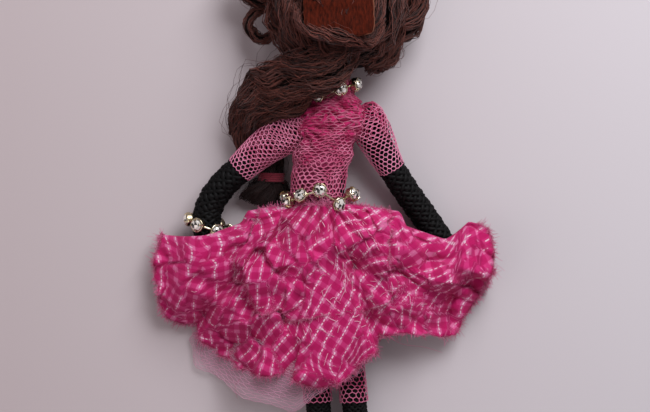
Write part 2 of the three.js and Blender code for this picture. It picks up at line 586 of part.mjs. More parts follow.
cupChain("belt", {
  centre: new THREE.Vector3(leanAt(BELT_RISE), BELT_RISE, TORSO_Z), axis: Y,
  inner: bodiceHalfWidth + GAP + CUP_RADIUS * Math.sin(BELT_TILT),
  stones: BELT_STONES, start: Math.PI / 2,
  wave: (i) => BELT_WAVE * Math.sin(2.1 * i + 1), lean: (i) => BELT_TILT * Math.sin(1.7 * i),
});
const collarRadius = NECK_RADIUS * 1.15 + GAP + NET;
const necklaceY = shoulderLine + NECK_HEIGHT * 0.48;
cupChain("necklace", {
  centre: new THREE.Vector3(leanAt(necklaceY), necklaceY, depthAt(necklaceY)),
  axis: Y, inner: collarRadius + 2 * GAP, stones: RING_STONES, start: 0.3,
  wave: (i, turn) => NECKLACE_RISE * Math.cos(turn), lean: () => 0,
});
cupChain("bracelet", {
  centre: new THREE.Vector3(leftWrist.x, leftWrist.y - BRACELET_DROP, WRIST_RISE),
  axis: Y, inner: ARM_RADIUS + 2 * GAP, stones: RING_STONES, start: 0,
  wave: (i, turn) => -BRACELET_TILT * Math.sin(turn), lean: () => 0,
});

// Tail of hair: over the left shoulder, down beside the sleeve and flat on the table under the arm, with a
// band near its end.
const tailRoute = [
  new THREE.Vector3(neckPivot.x + 3, neckPivot.y + 2.5, neckPivot.z + 9.5),
  new THREE.Vector3(neckPivot.x - 3.2, neckPivot.y - 3, neckPivot.z + 9),
  new THREE.Vector3(leftShoulder.x - 2, leftShoulder.y + 8, TORSO_Z + 6.4),
  new THREE.Vector3(leftShoulder.x - 10, leftShoulder.y + 3.6, TORSO_Z + 0.4),
  new THREE.Vector3(leftShoulder.x - 13, leftShoulder.y - 3.6, 4.6),
  new THREE.Vector3(leftShoulder.x - 10.8, leftShoulder.y - 10.8, 2.6),
  new THREE.Vector3(leftShoulder.x - 8, leftShoulder.y - 16.6, 2.3),
];
const tailRadius = (t) => {
  const swell = 0.86 + 0.34 * bump(t, 0.42, 0.16);
  const flat = THREE.MathUtils.lerp(1, 0.46, smooth(t, 0.5, 0.8));
  const taper = THREE.MathUtils.lerp(1, 0.72, smooth(t, 0.7, BAND_AT));
  return [TAIL_HALF_WIDTH * swell * taper, TAIL_HALF_DEPTH * swell * flat];
};
const capRoom = cut(hairRoom, belowNape(GAP));
add("ponytail", cut(
  limb(tailRoute, tailRadius, 15, 10), capRoom, leftSleeveRoom, bodiceRoom, tableTo(GAP)), wool);

const tailCurve = new THREE.CatmullRomCurve3(tailRoute, false, "centripetal");
const bandRings = (grow) => [-0.5, 0.5].map((end) => {
  const { at, along, across, up } = frameOn(tailCurve, BAND_AT);
  const [w, h] = tailRadius(BAND_AT);
  return ringAt(at.addScaledVector(along, end * BAND_WIDTH), across, up, w + grow, h + grow, 12);
});
add("ponytail_band", cut(wall(bandRings(GAP + BAND), bandRings(GAP)), leftSleeveRoom), redBand);

export default doll;
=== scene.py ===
"""Looks of a knotted rag doll that lies face down on a table, seen from straight above.

Sizes are millimetres in the part's own frame: +Y runs from the feet to the head, +Z up from the table.
"""
import logging
import math
from dataclasses import dataclass, field
from enum import Enum

import bpy
import numpy as np
from bpy.types import Material, Mesh, Node, NodeSocket, NodeTree, Object
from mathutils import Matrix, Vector


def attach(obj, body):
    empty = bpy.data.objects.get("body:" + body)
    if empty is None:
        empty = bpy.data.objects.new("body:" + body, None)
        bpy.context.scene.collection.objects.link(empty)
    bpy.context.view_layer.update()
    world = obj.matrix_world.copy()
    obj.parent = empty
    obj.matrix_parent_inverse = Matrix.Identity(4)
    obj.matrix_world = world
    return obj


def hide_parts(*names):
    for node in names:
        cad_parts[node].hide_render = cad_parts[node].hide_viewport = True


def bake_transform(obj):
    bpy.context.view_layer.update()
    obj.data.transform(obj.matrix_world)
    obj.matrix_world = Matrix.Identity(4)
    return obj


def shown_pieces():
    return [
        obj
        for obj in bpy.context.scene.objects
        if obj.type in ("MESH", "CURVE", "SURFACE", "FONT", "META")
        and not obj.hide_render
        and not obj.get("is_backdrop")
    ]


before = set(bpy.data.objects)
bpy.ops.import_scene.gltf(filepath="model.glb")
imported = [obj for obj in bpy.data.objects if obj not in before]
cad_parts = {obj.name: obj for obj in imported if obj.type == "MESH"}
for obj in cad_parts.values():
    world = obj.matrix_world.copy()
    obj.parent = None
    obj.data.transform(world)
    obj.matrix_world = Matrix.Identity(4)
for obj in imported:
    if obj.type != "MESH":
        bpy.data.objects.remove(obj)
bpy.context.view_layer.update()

log = logging.getLogger("rag_doll")

MM = 0.001
TAU = 2 * math.pi
SEED = 11
X, Y, Z = np.eye(3)
WAIST = (0.0, 22.8, 9.6)  # the middle that both skirts hang from


# Numbers and curves

def linear(colour: str) -> tuple[float, float, float, float]:
    """Turns an sRGB hex value to linear.

    Args:
        colour: A value such as "#a02050".

    Returns:
        Red, green, blue and a full alpha.
    """
    shares = [int(colour[i:i + 2], 16) / 255 for i in (1, 3, 5)]
    return (*[s / 12.92 if s <= 0.04045 else ((s + 0.055) / 1.055) ** 2.4 for s in shares], 1.0)


def smooth(value: np.ndarray, start: float, end: float) -> np.ndarray:
    """Rises smoothly from 0 at start to 1 at end."""
    t = np.clip((np.asarray(value, float) - start) / (end - start), 0, 1)
    return t * t * (3 - 2 * t)


def bump(value: np.ndarray, at: float, width: float) -> np.ndarray:
    """Gives a soft bump of height 1."""
    return np.exp(-(((value - at) / width) ** 2))


def mix(a: np.ndarray, b: np.ndarray, share: np.ndarray) -> np.ndarray:
    """Goes from a to b as share goes from 0 to 1."""
    return a + (b - a) * share


def unit(vectors: np.ndarray) -> np.ndarray:
    """Scales vectors to length 1."""
    return vectors / np.maximum(np.linalg.norm(vectors, axis=-1, keepdims=True), 1e-9)


def noise(points: np.ndarray, size: float, seed: int = 0) -> np.ndarray:
    """Gives smooth noise over space.

    Args:
        points: Places, in rows of three.
        size: Width of one feature.
        seed: Which noise.

    Returns:
        A value from -1 to 1 for each place.
    """
    shape = points.shape[:-1]
    scaled = points.reshape(-1, 3) / size
    cell = np.floor(scaled).astype(np.int64)
    share = scaled - cell
    share = share * share * (3 - 2 * share)
    total = np.zeros(len(scaled))
    for corner in np.ndindex(2, 2, 2):
        key = cell + np.array(corner)
        mixed = key[:, 0] * 73856093 ^ key[:, 1] * 19349663 ^ key[:, 2] * 83492791 ^ (seed + 1) * 2654435761
        mixed = (mixed ^ (mixed >> 13)) * 1274126177
        value = ((mixed ^ (mixed >> 16)) & 0xFFFF) / 32767.5 - 1
        total += value * np.prod(np.where(corner, share, 1 - share), axis=1)
    return total.reshape(shape)


def wander(values: np.ndarray, size: float, seed: int) -> np.ndarray:
    """Gives smooth noise along a row of values."""
    return noise(values[..., None] * X, size, seed)


def facets(plan: np.ndarray, count: int, tilt: float,
           rng: np.random.Generator) -> tuple[np.ndarray, np.ndarray]:
    """Breaks cloth into flat bits that lean at random, as crumpling leaves them.

    Args:
        plan: Places seen from above, in rows of two.
        count: How many bits.
        tilt: How much they lean, as a slope.
        rng: Source of the random numbers.

    Returns:
        The number of the bit that each place lies on, and its height with short creases between the bits.
    """
    flat = plan.reshape(-1, 2)
    middles = rng.uniform(flat.min(axis=0), flat.max(axis=0), (count, 2))
    way = flat[:, None] - middles
    far = np.linalg.norm(way, axis=2)
    weight = np.exp(-5.5 * (far - far.min(axis=1, keepdims=True)))
    planes = np.einsum("ijk,jk->ij", way, tilt * rng.normal(size=(count, 2))) + tilt * rng.normal(size=count)
    height = (weight * planes).sum(axis=1) / weight.sum(axis=1)
    return far.argmin(axis=1).reshape(plan.shape[:-1]), height.reshape(plan.shape[:-1])


def polar(down: np.ndarray, turn: np.ndarray) -> np.ndarray:
    """Gives directions by their angle from Y and their turn round it."""
    return np.stack([np.sin(down) * np.cos(turn), np.cos(down), np.sin(down) * np.sin(turn)], -1)


def globe(rows: int, columns: int, gap: float) -> np.ndarray:
    """Gives rings of points on a ball of radius 1 round Y, with an angle of gap left open at both ends."""
    down, turn = np.linspace(gap, math.pi - gap, rows), np.arange(columns) * TAU / columns
    return polar(*np.meshgrid(down, turn, indexing="ij"))


def hang(start: np.ndarray, low: np.ndarray, high: np.ndarray, fill: np.ndarray,
         share: np.ndarray) -> np.ndarray:
    """Gives the height of a skirt's cloth.

    Args:
        start: Height at the waist.
        low: Height of the lower layer's hem.
        high: Height of the upper layer's hem.
        fill: 1 on the upper layer and -1 on the lower one.
        share: Share of the way from the waist to the hem.

    Returns:
        The height.
    """
    hem = (low + high) / 2 + fill * (high - low) / 2
    return mix(start, hem, mix(smooth(share, 0, 0.4), share, (fill + 1) / 2))


class Route:
    """A smooth line through a few points, walked by its length."""

    STEPS = 40

    def __init__(self, points: list) -> None:
        """Samples the line finely.

        Args:
            points: The points that it passes.
        """
        given = np.array(points, float)
        padded = np.vstack([2 * given[0] - given[1], given, 2 * given[-1] - given[-2]])
        steps = np.linspace(0, 1, self.STEPS, endpoint=False)[:, None]
        pieces = [self._between(padded[i:i + 4], steps) for i in range(len(given) - 1)]
        self.line = np.vstack([*pieces, given[-1:]])
        walked = np.linalg.norm(np.diff(self.line, axis=0), axis=1)
        self.walked = np.concatenate([[0], np.cumsum(walked)])
        self.length = self.walked[-1]

    @staticmethod
    def _between(p: np.ndarray, steps: np.ndarray) -> np.ndarray:
        """Gives the points between the middle two of four, by their centripetal spline."""
        knots = np.concatenate([[0], np.cumsum(np.sqrt(np.linalg.norm(np.diff(p, axis=0), axis=1)))])
        t = mix(knots[1], knots[2], steps)

        def blend(a: np.ndarray, b: np.ndarray, i: int, j: int) -> np.ndarray:
            """Mixes two points by their knots."""
            return ((knots[j] - t) * a + (t - knots[i]) * b) / (knots[j] - knots[i])

        first, second, third = blend(p[0], p[1], 0, 1), blend(p[1], p[2], 1, 2), blend(p[2], p[3], 2, 3)
        return blend(blend(first, second, 0, 2), blend(second, third, 1, 3), 1, 2)

    def at(self, shares: np.ndarray) -> np.ndarray:
        """Gives the points at shares of the length."""
        where = np.asarray(shares, float) * self.length
        return np.stack([np.interp(where, self.walked, self.line[:, k]) for k in range(3)], axis=-1)

    def frames(self, shares: np.ndarray) -> tuple[np.ndarray, np.ndarray, np.ndarray, np.ndarray]:
        """Gives point, direction, level cross direction and upward direction at shares of the length."""
        shares = np.asarray(shares, float)
        step = 0.004
        ahead = self.at(np.minimum(shares + step, 1)) - self.at(np.maximum(shares - step, 0))
        along = unit(ahead)
        across = unit(np.cross(Z, along))
        return self.at(shares), along, across, np.cross(along, across)


def wound(at: np.ndarray, across: np.ndarray, up: np.ndarray, turn: np.ndarray,
          reach: np.ndarray) -> np.ndarray:
    """Gives points round a route's frames, by their turn and their distance."""
    return at + reach[:, None] * (np.cos(turn)[:, None] * across + np.sin(turn)[:, None] * up)


# Meshes

def grid_faces(rows: int, columns: int, wrap: bool) -> np.ndarray:
    """Gives the quads of a grid of points.

    Args:
        rows: Count of rows.
        columns: Count of points in a row.
        wrap: Whether each row closes on itself.

    Returns:
        Four point numbers for each quad.
    """
    i, j = np.meshgrid(np.arange(rows - 1), np.arange(columns if wrap else columns - 1), indexing="ij")
    k = (j + 1) % columns
    corners = (i * columns + j, i * columns + k, (i + 1) * columns + k, (i + 1) * columns + j)
    return np.stack(corners, -1).reshape(-1, 4)


def closed_faces(rows: int, columns: int) -> list:
    """Gives the quads of rings of points and a face over each end."""
    ends = [range(columns - 1, -1, -1), range((rows - 1) * columns, rows * columns)]
    return [*grid_faces(rows, columns, True), *ends]


def new_object(name: str, mesh: Mesh) -> Object:
    """Puts a mesh into the scene as an object."""
    piece = bpy.data.objects.new(name, mesh)
    bpy.context.scene.collection.objects.link(piece)
    return piece


def surface(name: str, points: np.ndarray, faces: list, material: Material) -> Object:
    """Makes a piece with a smooth surface.

    Args:
        name: The piece's name.
        points: Its points.
        faces: Point numbers of each face.
        material: Its finish.

    Returns:
        The piece.
    """
    mesh = bpy.data.meshes.new(name)
    mesh.from_pydata((points.reshape(-1, 3) * MM).tolist(), [], [list(map(int, face)) for face in faces])
    mesh.materials.append(material)
    mesh.shade_smooth()
    return new_object(name, mesh)


def mark(piece: Object, label: str, values: np.ndarray, domain: str = "POINT") -> None:
    """Gives a piece's points or faces values or vectors of their own."""
    values = np.asarray(values, np.float32)
    kind, entry = ("FLOAT_VECTOR", "vector") if values.ndim == 2 else ("FLOAT", "value")
    piece.data.attributes.new(label, kind, domain).data.foreach_set(entry, values.ravel())


def wires(name: str, chains: list, marks: dict | None = None) -> Object:
    """Makes an object of bare edges, for threads to follow.

    Args:
        name: The object's name.
        chains: Rows of points, one for each thread.
        marks: Values for each thread's points, by attribute name.

    Returns:
        The object.
    """
    counts = [len(chain) for chain in chains]
    starts = np.concatenate([[0], np.cumsum(counts)[:-1]])
    edges = np.vstack([np.stack([np.arange(n - 1), np.arange(1, n)], -1) + s for n, s in zip(counts, starts)])
    return net_wires(name, np.vstack(chains), edges, marks)


def net_wires(name: str, points: np.ndarray, edges: np.ndarray, marks: dict | None = None) -> Object:
    """Makes an object of bare edges between given points.

    Args:
        name: The object's name.
        points: The points.
        edges: Pairs of point numbers.
        marks: Values for the points, by attribute name.

    Returns:
        The object.
    """
    mesh = bpy.data.meshes.new(name)
    mesh.from_pydata((points * MM).tolist(), edges.tolist(), [])
    piece = new_object(name, mesh)
    for label, values in (marks or {}).items():
        mark(piece, label, values)
    return piece


def baked(piece: Object) -> Object:
    """Turns a piece with its modifiers into a plain mesh."""
    depsgraph = bpy.context.evaluated_depsgraph_get()
    mesh = bpy.data.meshes.new_from_object(piece.evaluated_get(depsgraph))
    mesh.name = piece.name
    piece.modifiers.clear()
    piece.data = mesh
    return piece


def thicken(piece: Object, thickness: float) -> Object:
    """Gives a sheet its thickness, half to each side."""
    shell = piece.modifiers.new("thickness", "SOLIDIFY")
    shell.thickness = thickness * MM
    shell.offset = 0
    return baked(piece)


# Node trees

def plug(tree: NodeTree, node: Node, inputs: dict) -> None:
    """Sets a node's inputs to values or links them to sockets, by the input's name or number."""
    for label, value in inputs.items():
        socket = node.inputs[label]
        if isinstance(value, NodeSocket):
            tree.links.new(value, socket)
        else:
            socket.default_value = value


def add_node(tree: NodeTree, kind: str, settings: dict | None = None,
             inputs: dict | None = None) -> Node:
    """Adds a node with its settings, values and links.

    Args:
        tree: The tree that gets the node.
        kind: The node's type.
        settings: Values of its properties.
        inputs: Values or linked sockets, by the input's name or number.

    Returns:
        The node.
    """
    node = tree.nodes.new(kind)
    for label, value in (settings or {}).items():
        setattr(node, label, value)
    plug(tree, node, inputs or {})
    return node


def calc(tree: NodeTree, operation: str, *values: object) -> NodeSocket:
    """Adds arithmetic on values or sockets and gives its result."""
    return add_node(tree, "ShaderNodeMath", {"operation": operation}, dict(enumerate(values))).outputs[0]


def remap(tree: NodeTree, value: NodeSocket, start: float = 0.0, end: float = 1.0,
          low: float = 0.0, high: float = 1.0, kind: str = "LINEAR") -> NodeSocket:
    """Takes start to low and end to high, without going past them."""
    return add_node(tree, "ShaderNodeMapRange", {"interpolation_type": kind}, {
        "Value": value, "From Min": start, "From Max": end, "To Min": low, "To Max": high}).outputs[0]


def attribute(tree: NodeTree, name: str) -> NodeSocket:
    """Gives a mesh's own values to a material."""
    return add_node(tree, "ShaderNodeAttribute", {"attribute_name": name}).outputs["Fac"]


def tint(tree: NodeTree, share: NodeSocket, first: object, second: object) -> NodeSocket:
    """Goes from one colour to another, each an sRGB hex value or a socket."""
    first, second = (linear(c) if isinstance(c, str) else c for c in (first, second))
    return add_node(tree, "ShaderNodeMix", {"data_type": "RGBA"}, {0: share, 6: first, 7: second}).outputs[2]


def relief(tree: NodeTree, height: NodeSocket, strength: float, depth: float) -> NodeSocket:
    """Gives the shading of small heights, with a depth in millimetres."""
    return add_node(tree, "ShaderNodeBump", inputs={
        "Strength": strength, "Distance": depth * MM, "Height": height}).outputs[0]


def speckle(tree: NodeTree, size: float, detail: float = 2.0, **more: object) -> NodeSocket:
    """Gives noise with features of a size in millimetres, which stays with the piece."""
    place = add_node(tree, "ShaderNodeTexCoord").outputs["Object"]
    return add_node(tree, "ShaderNodeTexNoise", inputs={
        "Vector": place, "Scale": 1 / (size * MM), "Detail": detail, **more}).outputs["Fac"]


class Tree:
    """A geometry tree with named inputs that turns an object's mesh into a finished one."""

    def __init__(self, name: str, sockets: dict) -> None:
        """Starts the tree.

        Args:
            name: The tree's name.
            sockets: Socket type of each input, by its name.
        """
        self.group = bpy.data.node_groups.new(name, "GeometryNodeTree")
        face = self.group.interface
        face.new_socket("Geometry", in_out="INPUT", socket_type="NodeSocketGeometry")
        self.names = {
            label: face.new_socket(label, in_out="INPUT", socket_type=kind).identifier
            for label, kind in sockets.items()}
        face.new_socket("Geometry", in_out="OUTPUT", socket_type="NodeSocketGeometry")
        self.given = add_node(self.group, "NodeGroupInput").outputs

    def add(self, kind: str, settings: dict | None = None, inputs: dict | None = None) -> Node:
        """Adds a node to the tree."""
        return add_node(self.group, kind, settings, inputs)

    def calc(self, operation: str, *values: object) -> NodeSocket:
        """Adds arithmetic on numbers."""
        return calc(self.group, operation, *values)

    def vector(self, operation: str, first: object, second: object) -> NodeSocket:
        """Adds arithmetic on vectors, or on a vector and a number for SCALE."""
        inputs = {0: first, "Scale" if operation == "SCALE" else 1: second}
        return self.add("ShaderNodeVectorMath", {"operation": operation}, inputs).outputs[0]

    def own(self, name: str) -> NodeSocket:
        """Gives the mesh's own vectors of a name."""
        node = self.add("GeometryNodeInputNamedAttribute", {"data_type": "FLOAT_VECTOR"}, {"Name": name})
        return node.outputs[0]

    def end(self, geometry: NodeSocket) -> None:
        """Closes the tree: instances become real and take the material."""
        real = self.add("GeometryNodeRealizeInstances", inputs={"Geometry": geometry})
        dressed = self.add("GeometryNodeSetMaterial", inputs={
            "Geometry": real.outputs[0], "Material": self.given["Material"]})
        self.add("NodeGroupOutput", inputs={0: dressed.outputs[0]})

    def apply(self, piece: Object, **values: object) -> Object:
        """Runs the tree on a piece and keeps the result as its mesh.

        Args:
            piece: The piece.
            values: Values of the tree's inputs, with _ for spaces in their names.

        Returns:
            The piece.
        """
        modifier = piece.modifiers.new(self.group.name, "NODES")
        modifier.node_group = self.group
        for label, value in values.items():
            modifier[self.names[label.replace("_", " ")]] = value
        return baked(piece)


def tapered(tree: Tree) -> NodeSocket:
    """Gives the tree's radius, which falls towards each line's end by the tree's taper."""
    share = tree.add("GeometryNodeSplineParameter").outputs["Factor"]
    loss = tree.calc("MULTIPLY", tree.calc("POWER", share, 3.0), tree.given["Taper"])
    return tree.calc("MULTIPLY", tree.calc("SUBTRACT", 1.0, loss), tree.given["Radius"])


def tubes(tree: Tree, curve: NodeSocket) -> NodeSocket:
    """Gives lines the roundness of thread."""
    ring = tree.add("GeometryNodeCurvePrimitiveCircle", inputs={
        "Resolution": tree.given["Sides"], "Radius": 1.0}).outputs[0]
    return tree.add("GeometryNodeCurveToMesh", inputs={
        "Curve": curve, "Profile Curve": ring, "Scale": tapered(tree), "Fill Caps": True}).outputs[0]


def thread_tree() -> Tree:
    """Builds the tree that turns bare edges into thread."""
    tree = Tree("thread", {"Radius": "NodeSocketFloat", "Sides": "NodeSocketInt", "Taper": "NodeSocketFloat",
                           "Material": "NodeSocketMaterial"})
    curve = tree.add("GeometryNodeMeshToCurve", inputs={"Mesh": tree.given["Geometry"]})
    tree.end(tubes(tree, curve.outputs[0]))
    return tree


def strand_tree() -> Tree:
    """Builds the tree that spreads strands of wool round guide lines, by each guide's own width and rise."""
    tree = Tree("wool_strands", {"Strands": "NodeSocketInt", "Wave": "NodeSocketFloat",
                                 "Wave length": "NodeSocketFloat", "Radius": "NodeSocketFloat",
                                 "Sides": "NodeSocketInt", "Taper": "NodeSocketFloat",
                                 "Material": "NodeSocketMaterial"})
    guide = tree.add("GeometryNodeMeshToCurve", inputs={"Mesh": tree.given["Geometry"]})
    many = tree.add("GeometryNodeDuplicateElements", {"domain": "SPLINE"}, {
        "Geometry": guide.outputs[0], "Amount": tree.given["Strands"]})
    number = tree.add("GeometryNodeCurveOfPoint").outputs["Curve Index"]

    def luck(seed: int) -> NodeSocket:
        """Gives each strand a value from 0 to 1."""
        drawn = tree.add("FunctionNodeRandomValue", {"data_type": "FLOAT"}, {"ID": number, "Seed": seed})
        return drawn.outputs[1]

    spread = tree.calc("POWER", luck(1), 0.3)
    turn = tree.calc("MULTIPLY", luck(2), TAU)
    offsets = [tree.vector("SCALE", tree.own(label), tree.calc("MULTIPLY", tree.calc(wave, turn), spread))
               for label, wave in (("across", "COSINE"), ("rise", "SINE"))]
    place = tree.add("GeometryNodeInputPosition").outputs[0]
    scaled = tree.vector("DIVIDE", place, tree.given["Wave length"])
    for pace, apart, strength in ((1.0, 1.2, 1.0), (2.8, 40.0, 0.45)):
        moved = tree.vector("ADD", scaled, tree.calc("MULTIPLY", luck(4), apart))
        cloud = tree.add("ShaderNodeTexNoise", inputs={"Vector": moved, "Scale": pace, "Detail": 1.0})
        centred = tree.vector("SUBTRACT", cloud.outputs["Color"], (0.5, 0.5, 0.5))
        offsets.append(tree.vector("SCALE", centred, tree.calc("MULTIPLY", tree.given["Wave"], strength)))
    total = offsets[0]
    for offset in offsets[1:]:
        total = tree.vector("ADD", total, offset)
    moved = tree.add("GeometryNodeSetPosition", inputs={"Geometry": many.outputs[0], "Offset": total})
    toned = tree.add("GeometryNodeStoreNamedAttribute", {"data_type": "FLOAT", "domain": "POINT"}, {
        "Geometry": moved.outputs[0], "Name": "tone", "Value": luck(3)})
    tree.end(tubes(tree, toned.outputs[0]))
    return tree


def seat_tree() -> Tree:
    """Builds the tree that sets a shape on points, each facing its own way."""
    tree = Tree("seats", {"Shape": "NodeSocketObject", "Material": "NodeSocketMaterial"})
    shape = tree.add("GeometryNodeObjectInfo", inputs={"Object": tree.given["Shape"]})
    aim = tree.add("FunctionNodeAlignRotationToVector", {"axis": "Z"}, {"Vector": tree.own("face")})
    spin = tree.add("FunctionNodeAlignRotationToVector", {"axis": "X", "pivot_axis": "Z"}, {
        "Rotation": aim.outputs[0], "Vector": tree.own("side")})
    set_ = tree.add("GeometryNodeInstanceOnPoints", inputs={
        "Points": tree.given["Geometry"], "Instance": shape.outputs["Geometry"], "Rotation": spin.outputs[0]})
    tree.end(set_.outputs[0])
    return tree


def new_material(name: str) -> tuple[Material, NodeTree, Node]:
    """Starts a material.

    Args:
        name: What the stuff is.

    Returns:
        The material, its tree and its shader.
    """
    material = bpy.data.materials.new(name)
    material.use_nodes = True
    tree = material.node_tree
    return material, tree, tree.nodes["Principled BSDF"]


# Finishes

@dataclass(frozen=True)
class Gingham:
    """Thin woven cotton with metal thread: matt, in small soft edged checks with bright broken lines, whose
    brightness is partly the metal's own and partly painted glint.
    """

    deep: str = "#be1060"
    middle: str = "#d2327a"
    pale: str = "#e36ea2"
    # The metal thread's pale colour, brighter than the metal alone as a painted glint.
    metal: str = "#ffdcec"
    check: float = 1.59  # width of one band, a sixteenth of an inch
    thread: float = 0.36  # spacing of the weave, drawn a little coarse so that it shows
    dash: float = 1.1  # length of one dash of metal with its gap
    # The luck stands for where the metal thread glints: a painted glint, weaker along one axis.
    reaches: tuple = (0.38, 0.6)  # luck that the metal threads along each axis need to show
    turn: float = 47.0  # degrees from the flat cloth's first axis to the bright metal lines

    def build(self) -> Material:
        """Makes the material, which reads the flat cloth's millimetres."""
        material, tree, shader = new_material("gingham_cotton")
        flat = add_node(tree, "ShaderNodeUVMap", {"uv_map": "flat"})
        turned = add_node(tree, "ShaderNodeMapping", inputs={
            "Vector": flat.outputs[0], "Rotation": (0, 0, math.radians(-self.turn))}).outputs[0]
        axes = list(add_node(tree, "ShaderNodeSeparateXYZ", inputs={0: turned}).outputs)
        stripes = [self.stripe(tree, axes[k]) for k in (0, 1)]
        half = calc(tree, "MULTIPLY", calc(tree, "ADD", *stripes), 0.5)
        fade = add_node(tree, "ShaderNodeTexNoise", inputs={"Vector": turned, "Scale": 0.35, "Detail": 3.0})
        worn = calc(tree, "MULTIPLY_ADD", fade.outputs["Fac"], 0.5, half)
        ramp = add_node(tree, "ShaderNodeValToRGB", inputs={0: worn})
        ramp.color_ramp.elements.new(0.65)
        dyes = (self.pale, self.middle, self.deep)
        for entry, stop, colour in zip(ramp.color_ramp.elements, (0.22, 0.65, 1), dyes):
            entry.position = stop
            entry.color = linear(colour)
        waves = [calc(tree, "SINE", calc(tree, "MULTIPLY", axes[k], TAU / self.thread)) for k in (0, 1)]
        weave = calc(tree, "MULTIPLY", *waves)  # height of over and under threads
        lines = [self.metal_line(tree, axes, turned, 1 - k, k, self.reaches[k]) for k in (0, 1)]
        # The painted glint is left out of the creases.
        uncreased = calc(tree, "SUBTRACT", 1.0, attribute(tree, "crease"))
        shine = calc(tree, "MULTIPLY", calc(tree, "MAXIMUM", *lines), uncreased)
        plug(tree, shader, {
            "Base Color": tint(tree, shine, ramp.outputs[0], self.metal),
            "Metallic": calc(tree, "MULTIPLY", shine, 0.55), "Roughness": remap(tree, shine, 0, 1, 0.86, 0.3),
            "Normal": relief(tree, weave, 0.7, 0.12), "Sheen Weight": 0.06, "Specular IOR Level": 0.25})
        return material

    def stripe(self, tree: NodeTree, axis: NodeSocket) -> NodeSocket:
        """Gives 1 on the deep stripes across one axis and 0 on the pale ones."""
        wave = calc(tree, "SINE", calc(tree, "MULTIPLY", axis, math.pi / self.check))
        return remap(tree, wave, -0.45, 0.1, kind="SMOOTHSTEP")

    def metal_line(self, tree: NodeTree, axes: list, turned: NodeSocket, across: int, along: int,
                   reach: float) -> NodeSocket:
        """Gives 1 where a metal thread of one way lies on top and has a painted glint, in dashes and by luck.

        Args:
            tree: The material's tree.
            axes: The cloth's two axes.
            turned: Both in one.
            across: The axis that counts the threads.
            along: The axis that they run along.
            reach: Luck that a stretch of thread needs to show its painted glint.

        Returns:
            The share of metal, painted bright as a glint.
        """
        phase = calc(tree, "MULTIPLY_ADD", axes[across], 0.5 / self.check, 0.25)
        line = remap(tree, calc(tree, "PINGPONG", phase, 0.5), 0.072, 0.035)
        wave = calc(tree, "SINE", calc(tree, "MULTIPLY", axes[along], TAU / self.dash))
        stretch = [0.045, 0.045, 0]
        stretch[across] = 0.33 / self.check
        patch = add_node(tree, "ShaderNodeMapping", inputs={
            "Vector": turned, "Scale": stretch, "Location": (reach * 9, 3.1, 0)}).outputs[0]
        luck = add_node(tree, "ShaderNodeTexNoise", inputs={"Vector": patch, "Scale": 3.0, "Detail": 1.0})
        lit = remap(tree, luck.outputs["Fac"], reach - 0.02, reach + 0.06)
        dashed = calc(tree, "MULTIPLY", line, remap(tree, wave, -0.65, -0.15, 0.08))
        return calc(tree, "MULTIPLY", dashed, lit)


@dataclass(frozen=True)
class Yarn:
    """Spun thread: matt and fuzzy, each thread a little lighter or darker than the next, by the tone that
    each piece gives, which on some pieces is painted shade.
    """

    name: str
    dark: str
    light: str
    roughness: float = 0.8
    sheen: float = 0.2
    gloss: float = 0.5

    def build(self) -> Material:
        """Makes the material, which reads each thread's own tone and the painted shade that a piece marks on
        it.
        """
        material, tree, shader = new_material(self.name)
        both = calc(tree, "MULTIPLY_ADD", speckle(tree, 0.5), 0.5, attribute(tree, "tone"))
        share = calc(tree, "SUBTRACT", calc(tree, "SUBTRACT", both, attribute(tree, "dusk")), 0.25)
        plug(tree, shader, {
            "Base Color": tint(tree, share, self.dark, self.light), "Roughness": self.roughness,
            "Sheen Weight": self.sheen, "Specular IOR Level": self.gloss})
        return material


@dataclass(frozen=True)
class Tulle:
    """Fine stiff net of nylon: a pale haze that lets the table through."""

    pale: str = "#f0c2d6"
    deep: str = "#d79ab6"
    cover: float = 0.13

    def build(self) -> Material:
        """Makes the material."""
        material, tree, shader = new_material("tulle_haze")
        colour = tint(tree, speckle(tree, 9), self.pale, self.deep)
        plug(tree, shader, {"Base Color": colour, "Roughness": 0.7, "Alpha": self.cover})
        return material


@dataclass(frozen=True)
class Suede:
    """Worn split leather: a matt brown nap with pulled fibres, and a pale cut edge."""

    dark: str = "#1c0703"
    light: str = "#581c0c"
    cut: str = "#8a5c48"

    def build(self) -> Material:
        """Makes the material."""
        material, tree, shader = new_material("brown_suede")
        place = add_node(tree, "ShaderNodeTexCoord").outputs["Object"]
        pulled = add_node(tree, "ShaderNodeMapping", inputs={
            "Vector": place, "Scale": (1.0, 0.3, 1.0), "Rotation": (0, 0, 0.2)}).outputs[0]
        fibre = speckle(tree, 0.5, 4.0, Vector=pulled, Roughness=0.7)
        nap = tint(tree, remap(tree, fibre, 0.3, 0.72), self.dark, self.light)
        plug(tree, shader, {
            "Base Color": tint(tree, attribute(tree, "cut"), nap, self.cut),
            "Normal": relief(tree, fibre, 0.8, 0.2), "Roughness": 0.9, "Specular IOR Level": 0.1})
        return material


@dataclass(frozen=True)
class Plating:
    """Silver plate worn towards brass: bright, a little yellow, with dull spots."""

    bright: str = "#e0d6ba"
    worn: str = "#94794a"

    def build(self) -> Material:
        """Makes the material."""
        material, tree, shader = new_material("worn_silver_plate")
        share = remap(tree, speckle(tree, 1.2, 3.0), 0.42, 0.68)
        plug(tree, shader, {
            "Base Color": tint(tree, share, self.bright, self.worn),
            "Roughness": remap(tree, share, 0, 1, 0.18, 0.42), "Metallic": 1.0})
        return material


